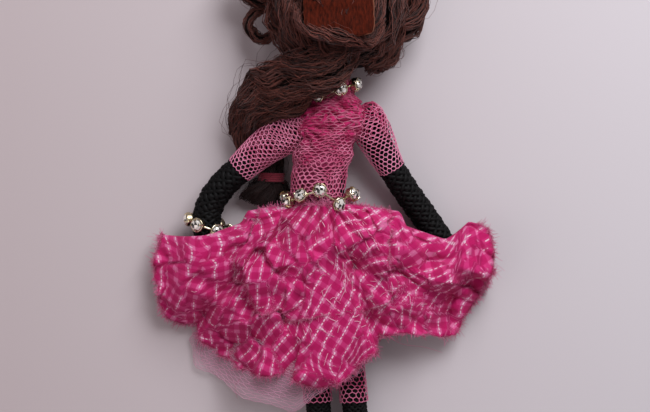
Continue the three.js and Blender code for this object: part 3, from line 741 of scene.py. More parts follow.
@dataclass(frozen=True)
class Crystal:
    """Cut glass on foil: hard mirror facets with painted reflections, some facets coloured near black and
    some white.
    """

    dark: str = "#1e1a14"
    light: str = "#fffaf0"

    def build(self) -> Material:
        """Makes the material, which reads each facet's tone: a painted reflection from near black to white.
        """
        material, tree, shader = new_material("foiled_crystal")
        plug(tree, shader, {
            "Base Color": tint(tree, attribute(tree, "tone"), self.dark, self.light), "Metallic": 0.55,
            "Roughness": 0.06, "Coat Weight": 0.8, "Coat Roughness": 0.03})
        return material


# Sub-assemblies

@dataclass
class Workshop:
    """What the sub-assemblies share: the geometry trees and the finishes."""

    threads: Tree
    strands: Tree
    seats: Tree
    gingham: Material
    fray: Material
    lurex: Material
    tulle: Material
    tulle_thread: Material
    net: Material
    lining: Material
    cord: Material
    cloth: Material
    wool: Material
    painted_wool_shade: Material
    band: Material
    suede: Material
    plate: Material
    crystal: Material

    def thread(self, lines: Object, radius: float, material: Material, sides: int = 5,
               taper: float = 0.0) -> Object:
        """Turns bare edges into thread.

        Args:
            lines: The edges.
            radius: The thread's radius.
            material: Its finish.
            sides: Points round it.
            taper: Share of the radius that is lost at a line's end.

        Returns:
            The piece.
        """
        return self.threads.apply(lines, Radius=radius * MM, Sides=sides, Taper=taper, Material=material)

    def comb(self, guides: Object, count: int, wave: float, length: float, radius: float,
             taper: float) -> Object:
        """Spreads strands of wool round guide lines.

        Args:
            guides: The lines.
            count: Strands round each of them.
            wave: How far the strands sway.
            length: Length of one sway.
            radius: A strand's radius.
            taper: Share of the radius that is lost at a strand's end.

        Returns:
            The piece.
        """
        return self.strands.apply(guides, Strands=count, Wave=wave * MM, Wave_length=length * MM,
                                  Radius=radius * MM, Sides=3, Taper=taper, Material=self.wool)


def joined(name: str, pieces: list) -> Object:
    """Makes one piece of several.

    Args:
        name: The new piece's name.
        pieces: The pieces, which are gone afterwards.

    Returns:
        The piece.
    """
    with bpy.context.temp_override(active_object=pieces[0], selected_editable_objects=pieces):
        bpy.ops.object.join()
    pieces[0].name = name
    return pieces[0]


def dress(piece: Object, body: str, slot: str, *nodes: str) -> Object:
    """Lets a piece ride a body and stand for its CAD nodes."""
    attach(piece, body)
    if nodes:
        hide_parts(*nodes)
    return piece


def tube(name: str, route: Route, shares: np.ndarray, half: np.ndarray, material: Material,
         sides: int = 28) -> Object:
    """Skins a closed tube along a route.

    Args:
        name: The piece's name.
        route: The line that it follows.
        shares: Where its rings lie.
        half: Half width and half height of each ring.
        material: Its finish.
        sides: Points in a ring.

    Returns:
        The piece.
    """
    at, _, across, up = route.frames(shares)
    turn = np.linspace(0, TAU, sides, endpoint=False)
    rings = (at[:, None] + half[:, None, :1] * np.cos(turn)[None, :, None] * across[:, None]
             + half[:, None, 1:] * np.sin(turn)[None, :, None] * up[:, None])
    return surface(name, rings, closed_faces(len(shares), sides), material)


def honeycomb(around: int, rows: int) -> tuple[np.ndarray, np.ndarray, np.ndarray]:
    """Lays out a net of six-sided cells whose rows close on themselves.

    Args:
        around: Cells in a row.
        rows: Count of rows.

    Returns:
        The share across and the share along of each knot, and the pairs of knots that threads join.
    """
    count = 2 * around
    j, k = np.meshgrid(np.arange(rows), np.arange(count), indexing="ij")
    raised = (j + k) % 2 == 0
    along = (j + 0.42 * raised) / (rows - 0.58)
    number = j * count + k
    across = np.stack([number, np.roll(number, -1, 1)], -1).reshape(-1, 2)
    up = raised[:-1]
    joins = np.stack([number[:-1][up], number[1:][up]], -1)
    return (k / count).ravel(), along.ravel(), np.vstack([across, joins])


@dataclass
class Pleat:
    """A fold of the skirt that runs out from the waist."""

    at: float  # degrees from straight down to the doll's right
    half: float  # half the angle that it takes up
    swing: float  # degrees by which its cloth doubles back
    before: float  # height of the hem on its right
    after: float  # height of the hem on its left
    hollow: float  # depth of the pocket that it leaves
    start: float  # share of the way from the waist at which it opens
    slant: float = 0.0  # degrees by which it turns between half way and the hem


@dataclass
class Overskirt:
    """The circle of gingham, folded flat on the doll's front and back, with raw edges."""

    waist: tuple = WAIST
    ring: float = 7.7  # radius of the gathered edge
    heading: float = 1.2  # height of the gathered edge above the middle that the hem is measured from
    left_end: float = -81.0  # degrees, where its fan ends
    right_end: float = 85.0
    thickness: float = 0.34
    top_columns: int = 330
    low_columns: int = 120
    rows: tuple = (40, 12, 28)  # from the waist to the tuck, through the tuck, and on to the hem
    pulls: int = 170  # bits of metal thread that lie on the cloth
    stretch: float = 0.2  # share of the crumple that takes up cloth, the rest is give of the weave
    droop: float = 7.0  # how far the hem hangs beside the legs and the hands
    bits: int = 125  # flat bits that crumpling breaks the cloth into
    bit_turn: float = 15.0  # degrees by which a bit's checks are off, because creases take up cloth
    bit_lean: float = 0.3  # slope of a bit
    ragged: float = 0.45  # how far the raw hem wanders in and out
    tuck_ragged: float = 1.8  # how far the edge of the upper layer does
    usual: float = 45.0  # distance of most of the hem from the waist
    below: float = 0.7  # how far the lower layer stays behind
    low: float = 0.5  # height of the lower layer's hem
    hands: tuple = (9.3, 6.3)  # how far the left and the right hand lift that hem
    parting: float = 2.2  # how fast the layers part from the ends of the waist
    lowest: float = 0.25  # height over the table of cloth that lies on it
    pleats: list = field(default_factory=lambda: [
        Pleat(49, 4.5, 4.5, 12.2, 10.4, 3.6, 0.4, 12.0),
        Pleat(20, 4.0, 3.0, 10.4, 14.2, 0.0, 0.7),
        Pleat(-8, 3.0, 3.0, 14.2, 12.4, 0.5, 0.75),
        Pleat(-50, 4.5, 5.0, 10.8, 12.6, 4.6, 0.5)])
    # Points of the long loose threads.
    loose: tuple = (((15, -8, 8), (20, -11, 6), (26, -12, 4.5), (30.5, -13.4, 4)),
                    ((41.5, 10.5, 9), (44.5, 8.6, 8.6), (46, 7.4, 8.2)),
                    ((-34, -2, 6), (-37, -4.5, 4), (-38, -7.5, 3)),
                    ((-20, -19, 7), (-22, -22, 5), (-21.5, -25, 4)))
    # The raw hem: angle and distance from the waist.
    hem: tuple = ((85, 38), (83, 42.2), (73, 44.4), (65, 45.6), (53, 44.9), (47, 46.2), (43.6, 44.6),
                  (40.5, 41), (32, 36), (25, 34.5), (21, 37), (16.5, 38.4), (11.7, 40.6), (4, 43.7),
                  (-0.4, 44.6), (-6.6, 43.2), (-13.7, 42.1), (-22, 44.1), (-35, 45), (-43, 45), (-48, 43),
                  (-52, 46.4), (-55, 47.8), (-60, 47.2), (-66, 45.6), (-71, 44.8), (-81, 41.5))
    # The edge of the upper layer, which lies over the lobes: angle, distance, overlap and height of the step.
    tuck: tuple = ((-85, 17, 0.8, 1.4), (-72, 17, 1.0, 1.6), (-60, 22, 1.1, 1.7), (-48, 27, 1.2, 1.8),
                   (-38, 28.5, 1.2, 1.9), (-24, 29, 1.1, 1.8), (-11, 28.8, 0.8, 1.2), (4, 28, 0, 0),
                   (20, 28.5, 0, 0), (29, 29, 0.8, 1.5), (37, 27.5, 1.3, 2.4), (47, 21.6, 1.2, 2.2),
                   (60, 18.5, 1.1, 1.8), (75, 17, 1.0, 1.6), (88, 17, 0.8, 1.4))

    def hem_distance(self, angle: np.ndarray) -> np.ndarray:
        """Gives the hem's distance from the waist, with dips between the lobes and a little raggedness."""
        knots = np.array(self.hem)[::-1]
        return np.interp(angle, knots[:, 0], knots[:, 1]) + self.ragged * wander(angle, 2.5, 17)

    def hem_height(self, angle: np.ndarray) -> np.ndarray:
        """Gives the height of the upper layer's hem."""
        height = np.full_like(angle, self.pleats[0].before)
        for pleat in self.pleats:
            passed = smooth(-angle, -pleat.at - pleat.half, -pleat.at + pleat.half)
            height = mix(height, pleat.after, passed)
        drift = 1.6 * smooth(-angle, 11, 42) * (1 - smooth(-angle, 46, 54)) + 2.2 * smooth(angle, 58, 78)
        return height - drift

    def columns(self) -> tuple[np.ndarray, np.ndarray]:
        """Gives each column's angle and whether it is on the upper layer, closer together at the pleats."""
        fine = np.linspace(self.right_end, self.left_end, 4000)
        density = 1 + 2.2 * sum(bump(fine, p.at, 1.2 * p.half) for p in self.pleats)
        density = density + 2.0 * (bump(fine, self.right_end, 3) + bump(fine, self.left_end, 3))
        walked = np.cumsum(density)
        wanted = np.linspace(walked[0], walked[-1], self.top_columns)
        top = np.interp(wanted, walked, fine)
        turn = np.linspace(0, math.pi, self.low_columns + 2)[1:-1]
        middle = (self.left_end + self.right_end) / 2
        low = middle - (self.right_end - self.left_end) / 2 * np.cos(turn)
        return np.concatenate([top, low]), np.concatenate([np.ones(len(top)), np.zeros(len(low))])

    def points(self) -> tuple[np.ndarray, np.ndarray, np.ndarray]:
        """Works out the cloth.

        Returns:
            The points by row and column, the place of each on the flat cloth, and 1 on creases.
        """
        angle, upper = self.columns()
        middle = (self.left_end + self.right_end) / 2
        a = np.clip((angle - middle) / ((self.right_end - self.left_end) / 2), -1, 1)
        lift = np.where(upper > 0, 1, -1) * np.sqrt(1 - a * a)
        fill = np.clip(self.parting * lift, -1, 1)
        top = np.clip(fill, 0, 1)
        x0, y0, z0 = self.waist
        waist = np.stack([x0 + self.ring * a, np.full_like(a, y0 + self.heading), z0 + self.ring * lift], -1)
        whole = np.ones_like(angle)
        at_hem = self.swing(angle, a, whole, self.usual * whole, top)
        reach = self.hem_distance(at_hem) - self.below * (1 - top)
        knots = np.array(self.tuck)[:, 0]
        edge, overlap, step = (np.interp(angle, knots, np.array(self.tuck)[:, k]) for k in (1, 2, 3))
        overlap, step = overlap * top, step * top
        edge = edge + self.tuck_ragged * wander(angle, 7, 19)
        span = reach - self.ring * np.abs(a)
        edge = np.minimum(edge - self.ring * np.abs(a), 0.8 * span)
        out, drop = self.walk(edge, overlap, span)
        share = out / span
        swing = self.swing(angle, a, share, out + self.ring * np.abs(a), top)
        turn = np.radians(swing)
        far = np.stack([np.sin(turn) * reach, -np.cos(turn) * reach], -1)
        plan = mix(waist[None, :, :2], np.array([x0, y0]) + far, share[..., None])
        low = self.low + self.hands[0] * smooth(-angle, 46, 60) + self.hands[1] * smooth(angle, 44, 58)
        z = hang(waist[:, 2], low, self.hem_height(angle), fill, share)
        z = z + step * drop * smooth(share, 0.0, 0.35)
        for pleat in self.pleats:
            opened = smooth(share, pleat.start, pleat.start + 0.25) * top
            z = z - pleat.hollow * opened * bump(angle, pleat.at, 0.75 * pleat.half)
        # The hem hangs on the left, and on the right between the leg and the hand.
        sag = smooth(-angle, 21, 33) + 1.1 * smooth(angle, 32, 42) * (1 - smooth(angle, 58, 66))
        z = z - self.droop * sag * smooth(share, 0.72, 1.0)
        smooth_cloth = np.concatenate([plan, z[..., None]], -1)
        bit, lean = facets(plan, self.bits, self.bit_lean, np.random.default_rng(SEED + 3))
        calm = 1 - 0.95 * smooth(bump(angle, 6, 15) * bump(share, 0.62, 0.34), 0.1, 0.6)
        crumple = self.crumple(smooth_cloth, share, angle, top, calm, lean)
        points = smooth_cloth + crumple
        points[..., 2] = np.maximum(points[..., 2], self.lowest)
        split = np.any([bit != np.roll(bit, way, axis) for way in (1, -1) for axis in (0, 1)], axis=0)
        flat = self.broken(self.flat(smooth_cloth + self.stretch * crumple), bit, calm)
        return points, flat, split * smooth(calm, 0.1, 0.5)

    def broken(self, flat: np.ndarray, bit: np.ndarray, calm: np.ndarray) -> np.ndarray:
        rng = np.random.default_rng(SEED + 4)
        bit = np.hstack([bit, bit[:, :1]])
        much = np.hstack([calm, calm[:, :1]])[..., None]
        owner = bit.ravel()
        size = np.maximum(np.bincount(owner, minlength=self.bits), 1)
        middle = np.stack([np.bincount(owner, flat[..., k].ravel(), self.bits) / size for k in (0, 1)], -1)
        turn = np.radians(self.bit_turn) * rng.normal(size=self.bits)[bit][..., None] * much
        shift = 0.8 * rng.normal(size=(self.bits, 2))[bit] * much
        way = flat - middle[bit]
        across = np.stack([-way[..., 1], way[..., 0]], -1)
        return middle[bit] + way * np.cos(turn) + across * np.sin(turn) + shift

    def walk(self, edge: np.ndarray, overlap: np.ndarray, span: np.ndarray) -> tuple[np.ndarray, np.ndarray]:
        """Gives each row's way from the waist, doubled back at the tuck, and how much of the step is left."""
        before, through, after = self.rows
        ease = 2.4
        rise = np.linspace(0, 1, before, endpoint=False)[:, None]
        fold = np.linspace(0, 1, through, endpoint=False)[:, None]
        rest = np.linspace(0, 1, after)[:, None]
        out = np.vstack([
            (edge - ease / 2) * rise,
            edge + ease * (fold - 0.5) + overlap * np.sin(TAU * fold),
            mix(edge + ease / 2, span, rest)])
        left = np.vstack([np.ones_like(rise), 1 - smooth(fold, 0.05, 0.95), np.zeros_like(rest)])
        return out, left

    def swing(self, angle: np.ndarray, a: np.ndarray, share: np.ndarray, distance: np.ndarray,
              top: np.ndarray) -> np.ndarray:
        """Gives each point's angle, with the pleats doubled back and the lobes' upper edges drawn in."""
        right = np.interp(distance, (0, 19.5, 21.5, 32, 37, 46), (85, 85, 74, 75, 85, 84))
        left = np.interp(distance, (0, 18.5, 20.5, 30, 41, 46), (85, 85, 75, 75.5, 81, 81))
        ends = np.where(angle > 0, right / self.right_end, left / -self.left_end)
        swung = angle * mix(1.0, ends, smooth(np.abs(a), 0.35, 0.97))
        for pleat in self.pleats:
            slant = pleat.slant * (2 * share - 1) * smooth(share, 0.1, 0.5) * bump(angle, pleat.at, 14)
            swung = swung + slant * top
            t = np.clip((pleat.at + pleat.half - angle) / (2 * pleat.half), 0, 1)
            opened = smooth(share, pleat.start - 0.1, 1.0) * top
            swung = swung - pleat.swing * np.sin(TAU * t) * opened
        return swung

    def crumple(self, points: np.ndarray, share: np.ndarray, angle: np.ndarray, top: np.ndarray,
                calm: np.ndarray, lean: np.ndarray) -> np.ndarray:
        """Gives the small folds of worn cloth: puffs with sharp valleys that leave the middle panel calm.

        Args:
            points: The smooth cloth.
            share: Share of the way from the waist.
            angle: Each column's angle.
            top: 1 on the upper layer and 0 on the lower one.
            calm: 1 where the cloth is crumpled, less where it is calm.
            lean: Height of the flat bits.

        Returns:
            How far each point moves.
        """
        # The factor of a noise is its height, and its numbers are the width of a feature and its seed.
        loose = smooth(share, 0.03, 0.25)
        place = points * np.array([0.66, 1, 0.3])
        place = place + 2.6 * np.stack([noise(place, 6, 1), noise(place, 6, 2), 0 * share], -1)
        gathers = 0.7 * np.sin(np.radians(angle) * 19 + 2.5 * noise(points, 14, 3)) * bump(share, 0.14, 0.16)
        puffs = 3.4 * np.abs(noise(place, 8.5, 5)) + 1.2 * np.abs(noise(place, 4.6, 6)) - 1.0
        fine = lean + 0.7 * (np.abs(noise(place, 3.2, 8)) - 0.25) + 0.22 * noise(points, 1.5, 9)
        flutter = 1.2 * noise(points, 3.5, 12) * smooth(share, 0.84, 1)
        up = (gathers + loose * calm * (puffs + fine) + flutter) * mix(0.15, 1, top)
        aside = loose * calm * smooth(1 - share, 0.0, 0.12)
        plan = [1.3 * noise(place, 6.5, 14 + k) * aside * top for k in (0, 1)]
        return np.stack([*plan, up], -1)

    def flat(self, points: np.ndarray) -> np.ndarray:
        """Unrolls the cloth: its place by the length walked out from the waist and round the hem."""
        outward = np.linalg.norm(np.diff(points, axis=0), axis=2)
        radius = self.ring + np.vstack([np.zeros(points.shape[1]), np.cumsum(outward, axis=0)])
        row = int(0.85 * len(points))  # the one whose length sets how far the cloth goes round
        steps = np.linalg.norm(np.diff(points[row], axis=0, append=points[row][:1]), axis=1)
        turned = np.concatenate([[0], np.cumsum(steps / radius[row].mean())])
        middle = int(0.42 * self.top_columns)  # the column that keeps its direction
        turned = math.radians(-82) - (turned - turned[middle])
        radius = np.hstack([radius, radius[:, :1]])
        return np.stack([radius * np.cos(turned), radius * np.sin(turned)], -1)

    def fray(self, points: np.ndarray, rng: np.random.Generator, hem: bool) -> list:
        """Draws threads that stand out of the raw hem, or of the other edges with a few long loose ones."""
        tuck = self.rows[0] + self.rows[1] // 4
        top = self.top_columns
        rise = points[:45]
        # Each edge, the row of points inside it, its count of threads and their length.
        edges = ((points[-1], points[-4], 8800, 0.85),) if hem else (
            (points[0][:top], points[2][:top], 1400, 0.9),
            (points[tuck][:top], points[tuck - 4][:top], 2600, 0.65),
            (rise[:, 0], rise[:, 3], 700, 0.8), (rise[:, top - 1], rise[:, top - 4], 700, 0.8))
        chains = []
        for edge, inner, count, most in edges:
            for _ in range(count):
                i = rng.integers(len(edge) - 1)
                start = mix(edge[i], edge[i + 1], rng.random())
                out = unit(edge[i] - inner[i]) + 0.8 * rng.normal(size=3) * np.array([1, 1, 0.5])
                length = 0.25 + most * rng.random() ** 2
                bend = rng.normal(size=3) * 0.7
                t = np.linspace(-0.5, 1, 4)[:, None]
                chain = start + length * (t * unit(out) + t * t * bend)
                chain[:, 2] = np.maximum(chain[:, 2], 0.15)
                chains.append(chain)
        if hem:
            return chains
        return chains + [Route(list(line)).at(np.linspace(0, 1, 14)) for line in self.loose]

    def pulled(self, points: np.ndarray, rng: np.random.Generator) -> list:
        """Draws the bits of metal thread that were pulled out of the crumpled cloth and lie on it."""
        chains = []
        last = len(points) - 12
        while len(chains) < self.pulls:
            i, j = rng.integers(8, last), rng.integers(4, self.top_columns - 14)
            di, dj = rng.integers(-5, 6), rng.integers(-7, 8)
            if abs(di) + abs(dj) < 5:
                continue
            ends = points[np.clip([i, i + di // 2, i + di], 0, last + 11), [j, j + dj // 2, j + dj]]
            if np.linalg.norm(ends[2] - ends[0]) < 3.5:
                chains.append(ends + np.array([[0, 0, 0.12], [0, 0, 0.5], [0, 0, 0.2]]))
        return chains

    def build(self, shop: Workshop) -> None:
        """Makes the skirt and its frayed threads."""
        points, flat, crease = self.points()
        rows, columns = points.shape[:2]
        skirt = surface("gingham_skirt", points, grid_faces(rows, columns, True), shop.gingham)
        corners = grid_faces(rows, columns + 1, False)
        layer = skirt.data.uv_layers.new(name="flat")
        layer.data.foreach_set("uv", flat.reshape(-1, 2)[corners.ravel()].ravel().astype(np.float32))
        mark(skirt, "crease", crease.ravel())
        thicken(skirt, self.thickness)
        rng = np.random.default_rng(SEED)

        def threads(name: str, chains: list, radius: float, material: Material, sides: int,
                    taper: float) -> Object:
            """Makes threads that go with the cloth, each in a tone of its own."""
            tone = np.repeat(rng.random(len(chains)), [len(chain) for chain in chains])
            piece = shop.thread(wires(name, chains, {"tone": tone}), radius, material, sides, taper)
            return dress(piece, "torso", "gingham")

        fringes = [threads(name, self.fray(points, rng, hem), 0.06, shop.fray, 3, 0.5)
                   for name, hem in (("hem_fray", True), ("edge_fray", False))]
        lurex = threads("skirt_lurex", self.pulled(points, rng), 0.08, shop.lurex, 4, 0.3)
        dress(skirt, "torso", "gingham", "overskirt")


@dataclass
class Petticoat:
    """The part circle of tulle below the skirt, which shows as a haze past the hem."""

    waist: tuple = WAIST
    ring: float = 6.4  # radius of the gathered edge
    middle: float = -4.25  # degrees, where the middle of its fan points
    half: float = 41.75  # degrees from there to the fan's ends
    below: float = 1.5  # how far the lower layer stays behind
    low: float = 0.9  # height of the lower layer's hem
    lowest: float = 0.7  # height over the table of net that lies on it
    parting: float = 1.6  # how fast the layers part from the ends of the waist
    cells: tuple = (76, 32)  # of the net, round the loop and outwards
    shown: float = 0.55  # share of the way from the waist at which the net's own threads begin
    # Angle, reach and height of the upper layer's hem.
    hem: tuple = ((-46, 47, 1.5), (-39, 51, 1.6), (-34, 51, 1.8), (-23, 51, 10), (-8, 50.5, 10.2),
                  (-2, 45.5, 10.3), (13, 42, 10.3), (19, 37.4, 10.3), (26, 35, 10), (31, 34, 7.5),
                  (37.5, 34, 3.2))

    def skin(self, u: np.ndarray, share: np.ndarray) -> np.ndarray:
        """Gives points of the net's surface.

        Args:
            u: Share round the loop, from its right over the upper layer.
            share: Share of the way from the waist.

        Returns:
            The points.
        """
        a, lift = np.cos(TAU * u), np.sin(TAU * u)
        fill = np.clip(self.parting * lift, -1, 1)
        angle = self.middle + self.half * a
        x0, y0, z0 = self.waist
        turn = np.radians(angle)
        knots = np.array(self.hem)
        reach = np.interp(angle, knots[:, 0], knots[:, 1]) - self.below * (1 - (fill + 1) / 2)
        reach = reach * (1 + 0.012 * np.sin(5 * TAU * u) + 0.01 * np.sin(13 * TAU * u))
        plan = mix(np.stack([x0 + self.ring * a, y0 + 0 * a], -1),
                   np.stack([x0 + np.sin(turn) * reach, y0 - np.cos(turn) * reach], -1), share[..., None])
        high = np.interp(angle, knots[:, 0], knots[:, 2])
        z = hang(z0 + self.ring * lift, self.low, high, fill, share)
        points = np.concatenate([plan, z[..., None]], -1)
        points[..., 2] += 0.5 * noise(points, 6, 21) * smooth(share, 0.6, 1)
        points[..., 2] = np.maximum(points[..., 2], self.lowest)
        return points

    def build(self, shop: Workshop) -> None:
        """Makes the petticoat: a haze, and the net's own threads where they show past the skirt."""
        rows, columns = 40, 140
        share, u = np.meshgrid(np.linspace(0, 1, rows), np.arange(columns) / columns, indexing="ij")
        haze = surface("tulle_petticoat", self.skin(u, share), grid_faces(rows, columns, True), shop.tulle)
        thicken(haze, 0.1)
        u, v, edges = honeycomb(*self.cells)
        knots = self.skin(u, mix(self.shown, 1.0, v))
        tone = 0.5 + 0.5 * noise(knots, 4, 22)
        lines = net_wires("petticoat_net", knots, edges, {"tone": tone})
        net = shop.thread(lines, 0.05, shop.tulle_thread, 3)
        dress(haze, "torso", "tulle", "petticoat")
        dress(net, "torso", "tulle")


@dataclass
class Cord:
    """A limb of braided black cord."""

    PLACES = 120  # rings of the core

    route: Route
    radius: float
    ends: tuple = (1.0, 1.0)  # how far each end is domed
    carriers: int = 12  # strands each way
    pitch: float = 15.0  # length in which a strand goes round once
    spacing: float = 0.34  # between the points of a strand
    inset: float = 0.42  # of the dark core below the strands

    def profile(self, shares: np.ndarray) -> np.ndarray:
        """Gives the radius along the route, domed at its ends."""
        walked = shares * self.route.length
        radius = np.full_like(walked, self.radius)
        for from_end, dome in ((walked, self.ends[0]), (self.route.length - walked, self.ends[1])):
            reach = max(self.radius * dome, 1e-6)
            inside = np.clip(1 - from_end / reach, 0, 1)
            radius = np.minimum(radius, self.radius * np.sqrt(np.maximum(1 - inside ** 2, 0.0)))
        return radius

    def core(self, shares: np.ndarray) -> np.ndarray:
        """Gives the radius of the dark core below the strands."""
        return np.maximum(self.profile(shares) - self.inset, 0.05)

    def braid(self) -> tuple[list, np.ndarray]:
        """Gives the strands, which cross over and under each other, and a painted shade for their points:
        lighter where a strand lies over, darker where it dips under.
        """
        shares = np.linspace(0, 1, max(int(self.route.length / self.spacing), 20))
        at, _, across, up = self.route.frames(shares)
        radius = self.profile(shares)
        walked = TAU * shares * self.route.length / self.pitch
        chains, painted_shade_tones = [], []
        for i in range(self.carriers):
            for way in (-1, 1):
                turn = way * walked + i * TAU / self.carriers
                over = way * np.cos(self.carriers * walked + i * math.pi)
                reach = np.maximum(radius - 0.3 + 0.2 * over, 0.05)
                chains.append(wound(at, across, up, turn, reach))
                # Painted shade: lighter on top of a crossing, darker below it.
                painted_shade_tones.append(0.35 + 0.3 * over)
        return chains, np.concatenate(painted_shade_tones)

    def build(self, shop: Workshop, name: str, core: np.ndarray | None = None) -> Object:
        """Makes the cord.

        Args:
            shop: Trees and finishes.
            name: The piece's name.
            core: Radius of the core's rings, where it isn't the cord's own.

        Returns:
            The piece.
        """
        shares = np.linspace(0, 1, self.PLACES)
        inside = self.core(shares) if core is None else core
        base = tube(name + "_core", self.route, shares, np.stack([inside, inside], -1), shop.cloth)
        chains, tone = self.braid()
        strand = 0.62 * TAU * self.radius / self.carriers / 2 * 0.98
        braid = shop.thread(wires(name + "_braid", chains, {"tone": tone}), strand, shop.cord)
        return joined(name, [braid, base])


@dataclass
class NetTube:
    """A tube of pink net over a limb."""

    route: Route
    start: float
    end: float
    radii: tuple  # at the start, the fullest place and the end
    fullest: float = 0.4
    cell: float = 1.85
    rise: float = 0.92
    thread: float = 0.165
    dome: float = 0.0  # share of the length that closes in at the start
    crowding: float = 1.0  # above 1 the cells lie closer at the start
    bunch: float = 0.0  # depth of the gathers at the start
    tone: float = 0.5

    def radius(self, share: np.ndarray) -> np.ndarray:
        """Gives the radius at a share of the tube's length."""
        plain = np.interp(share, (0, self.fullest, 1), self.radii)
        return plain * np.sqrt(np.clip(share / self.dome, 0.02, 1)) if self.dome else plain

    def build(self, shop: Workshop, name: str, seed: int) -> Object:
        """Makes the net."""
        length = (self.end - self.start) * self.route.length
        around = round(TAU * self.radii[1] / self.cell)
        rows = round(length / self.rise)
        u, v, edges = honeycomb(around, rows)
        flat = np.stack([u * around * self.cell, v * length, np.full_like(u, 7.0 * seed)], -1)
        gathered = self.bunch * (1 - smooth(v, 0.1, 0.65))
        v = np.clip(v + (0.35 + 5 * gathered) / length * noise(flat, 2.2, seed), 0, 1)
        u = u + (0.3 + 4 * gathered) / (TAU * self.radii[1]) * noise(flat, 2.6, seed + 1)
        crowded = v ** self.crowding
        at, _, across, up = self.route.frames(mix(self.start, self.end, crowded))
        turn = TAU * u
        ridges = gathered * np.sin(9 * turn + 3 * noise(flat, 5, seed + 4))
        reach = self.radius(crowded) * (1 + 0.03 * noise(flat, 4, seed + 2) + ridges)
        knots = wound(at, across, up, turn, reach)
        tone = self.tone + 0.35 * noise(flat, 3, seed + 3) + 0.3 * (v - 0.6)
        return shop.thread(net_wires(name, knots, edges, {"tone": tone}), self.thread, shop.net)


class Side(Enum):
    """Which side of the doll, as the sign of x."""

    LEFT = -1
    RIGHT = 1


@dataclass
class Arm:
    """A cord arm with its net sleeve."""

    side: Side
    inside: tuple  # where it starts, within the bodice
    shoulder: tuple
    offsets: tuple  # x and y from the shoulder, and the height
    sleeve_end: float
    doubled: float  # share of the sleeve that has a second layer
    cord: float
    sleeve: tuple  # radii at its start, its fullest place and its end

    def build(self, shop: Workshop) -> None:
        """Makes the arm and the sleeve."""
        x, y, _ = self.shoulder
        route = Route([self.inside, self.shoulder, *[(x + dx, y + dy, z) for dx, dy, z in self.offsets]])
        name = self.side.name.lower()
        sleeve = NetTube(route, 0.0, self.sleeve_end, self.sleeve, cell=1.62, rise=0.8, thread=0.13,
                         dome=0.14, crowding=1.25, bunch=0.1, tone=0.66)
        smaller = tuple(radius - 0.45 for radius in self.sleeve)
        # The inner layer is the same net with painted shade: its tone is much lower than the outer layer's.
        below = NetTube(route, 0.0, self.sleeve_end * self.doubled, smaller, cell=1.4, rise=0.7, thread=0.17,
                        dome=0.14, crowding=1.2, bunch=0.14, tone=0.2)
        shares = np.linspace(0, 1, Cord.PLACES)
        limb = Cord(route, self.cord, carriers=9)
        covered = 1 - smooth(shares, self.sleeve_end - 0.09, self.sleeve_end - 0.02)
        filled = np.maximum(sleeve.radius(np.clip(shares / self.sleeve_end, 0, 1)) - 0.8, 0.1)
        core = mix(limb.core(shares), filled, covered)
        arm = limb.build(shop, f"{name}_arm_cord", core)
        dress(arm, f"{name}_arm", "black_cord", f"{name}_arm")
        nets = [layer.build(shop, f"{name}_sleeve_net_{k}", 3 + self.side.value + 7 * k)
                for k, layer in enumerate((sleeve, below))]
        net = joined(f"{name}_sleeve_net", nets)
        dress(net, f"{name}_arm", "pink_net", f"{name}_sleeve")


@dataclass
class Leg:
    """A cord leg that ends in a knot, with its net stocking."""

    side: Side
    hip: tuple
    lean: float
    length: float = 53.0
    cord: float = 2.9
    heights: tuple = (8.15, 6.5, 6.1, 6.1, 4.4)
    knot_scale: float = 0.98
    knot_cord: float = 1.75

    def build(self, shop: Workshop) -> None:
        """Makes the leg, its knot and the stocking."""
        x, y, _ = self.hip
        shares = (0, 0.3, 0.6, 0.84, 1)
        points = [(x + self.lean * self.length * share, y - self.length * share, z)
                  for share, z in zip(shares, self.heights)]
        route = Route(points)
        name = self.side.name.lower()
        leg = Cord(route, self.cord).build(shop, f"{name}_leg_shaft")
        foot = self.knot(points[-1]).build(shop, f"{name}_foot_knot")
        cord = joined(f"{name}_leg_cord", [leg, foot])
        dress(cord, f"{name}_leg", "black_cord", f"{name}_leg")
        net = NetTube(route, 0.08, 0.785, (3.35, 3.5, 3.6), 0.5, 1.5, 1.0, 0.125, tone=0.25)
        stocking = net.build(shop, f"{name}_stocking_net", 9 + self.side.value)
        dress(stocking, f"{name}_leg", "pink_net", f"{name}_stocking")

    def knot(self, centre: tuple) -> Cord:
        """Ties the foot: one overhand knot pulled tight."""
        t = np.linspace(0, TAU, 33)
        line = np.stack([np.sin(t) + 2 * np.sin(2 * t), np.cos(t) - 2 * np.cos(2 * t),
                         -1.3 * np.sin(3 * t)], -1)
        points = np.array(centre) + self.knot_scale * line
        return Cord(Route(points.tolist()), self.knot_cord, (0.01, 0.01), 8, 9.0)


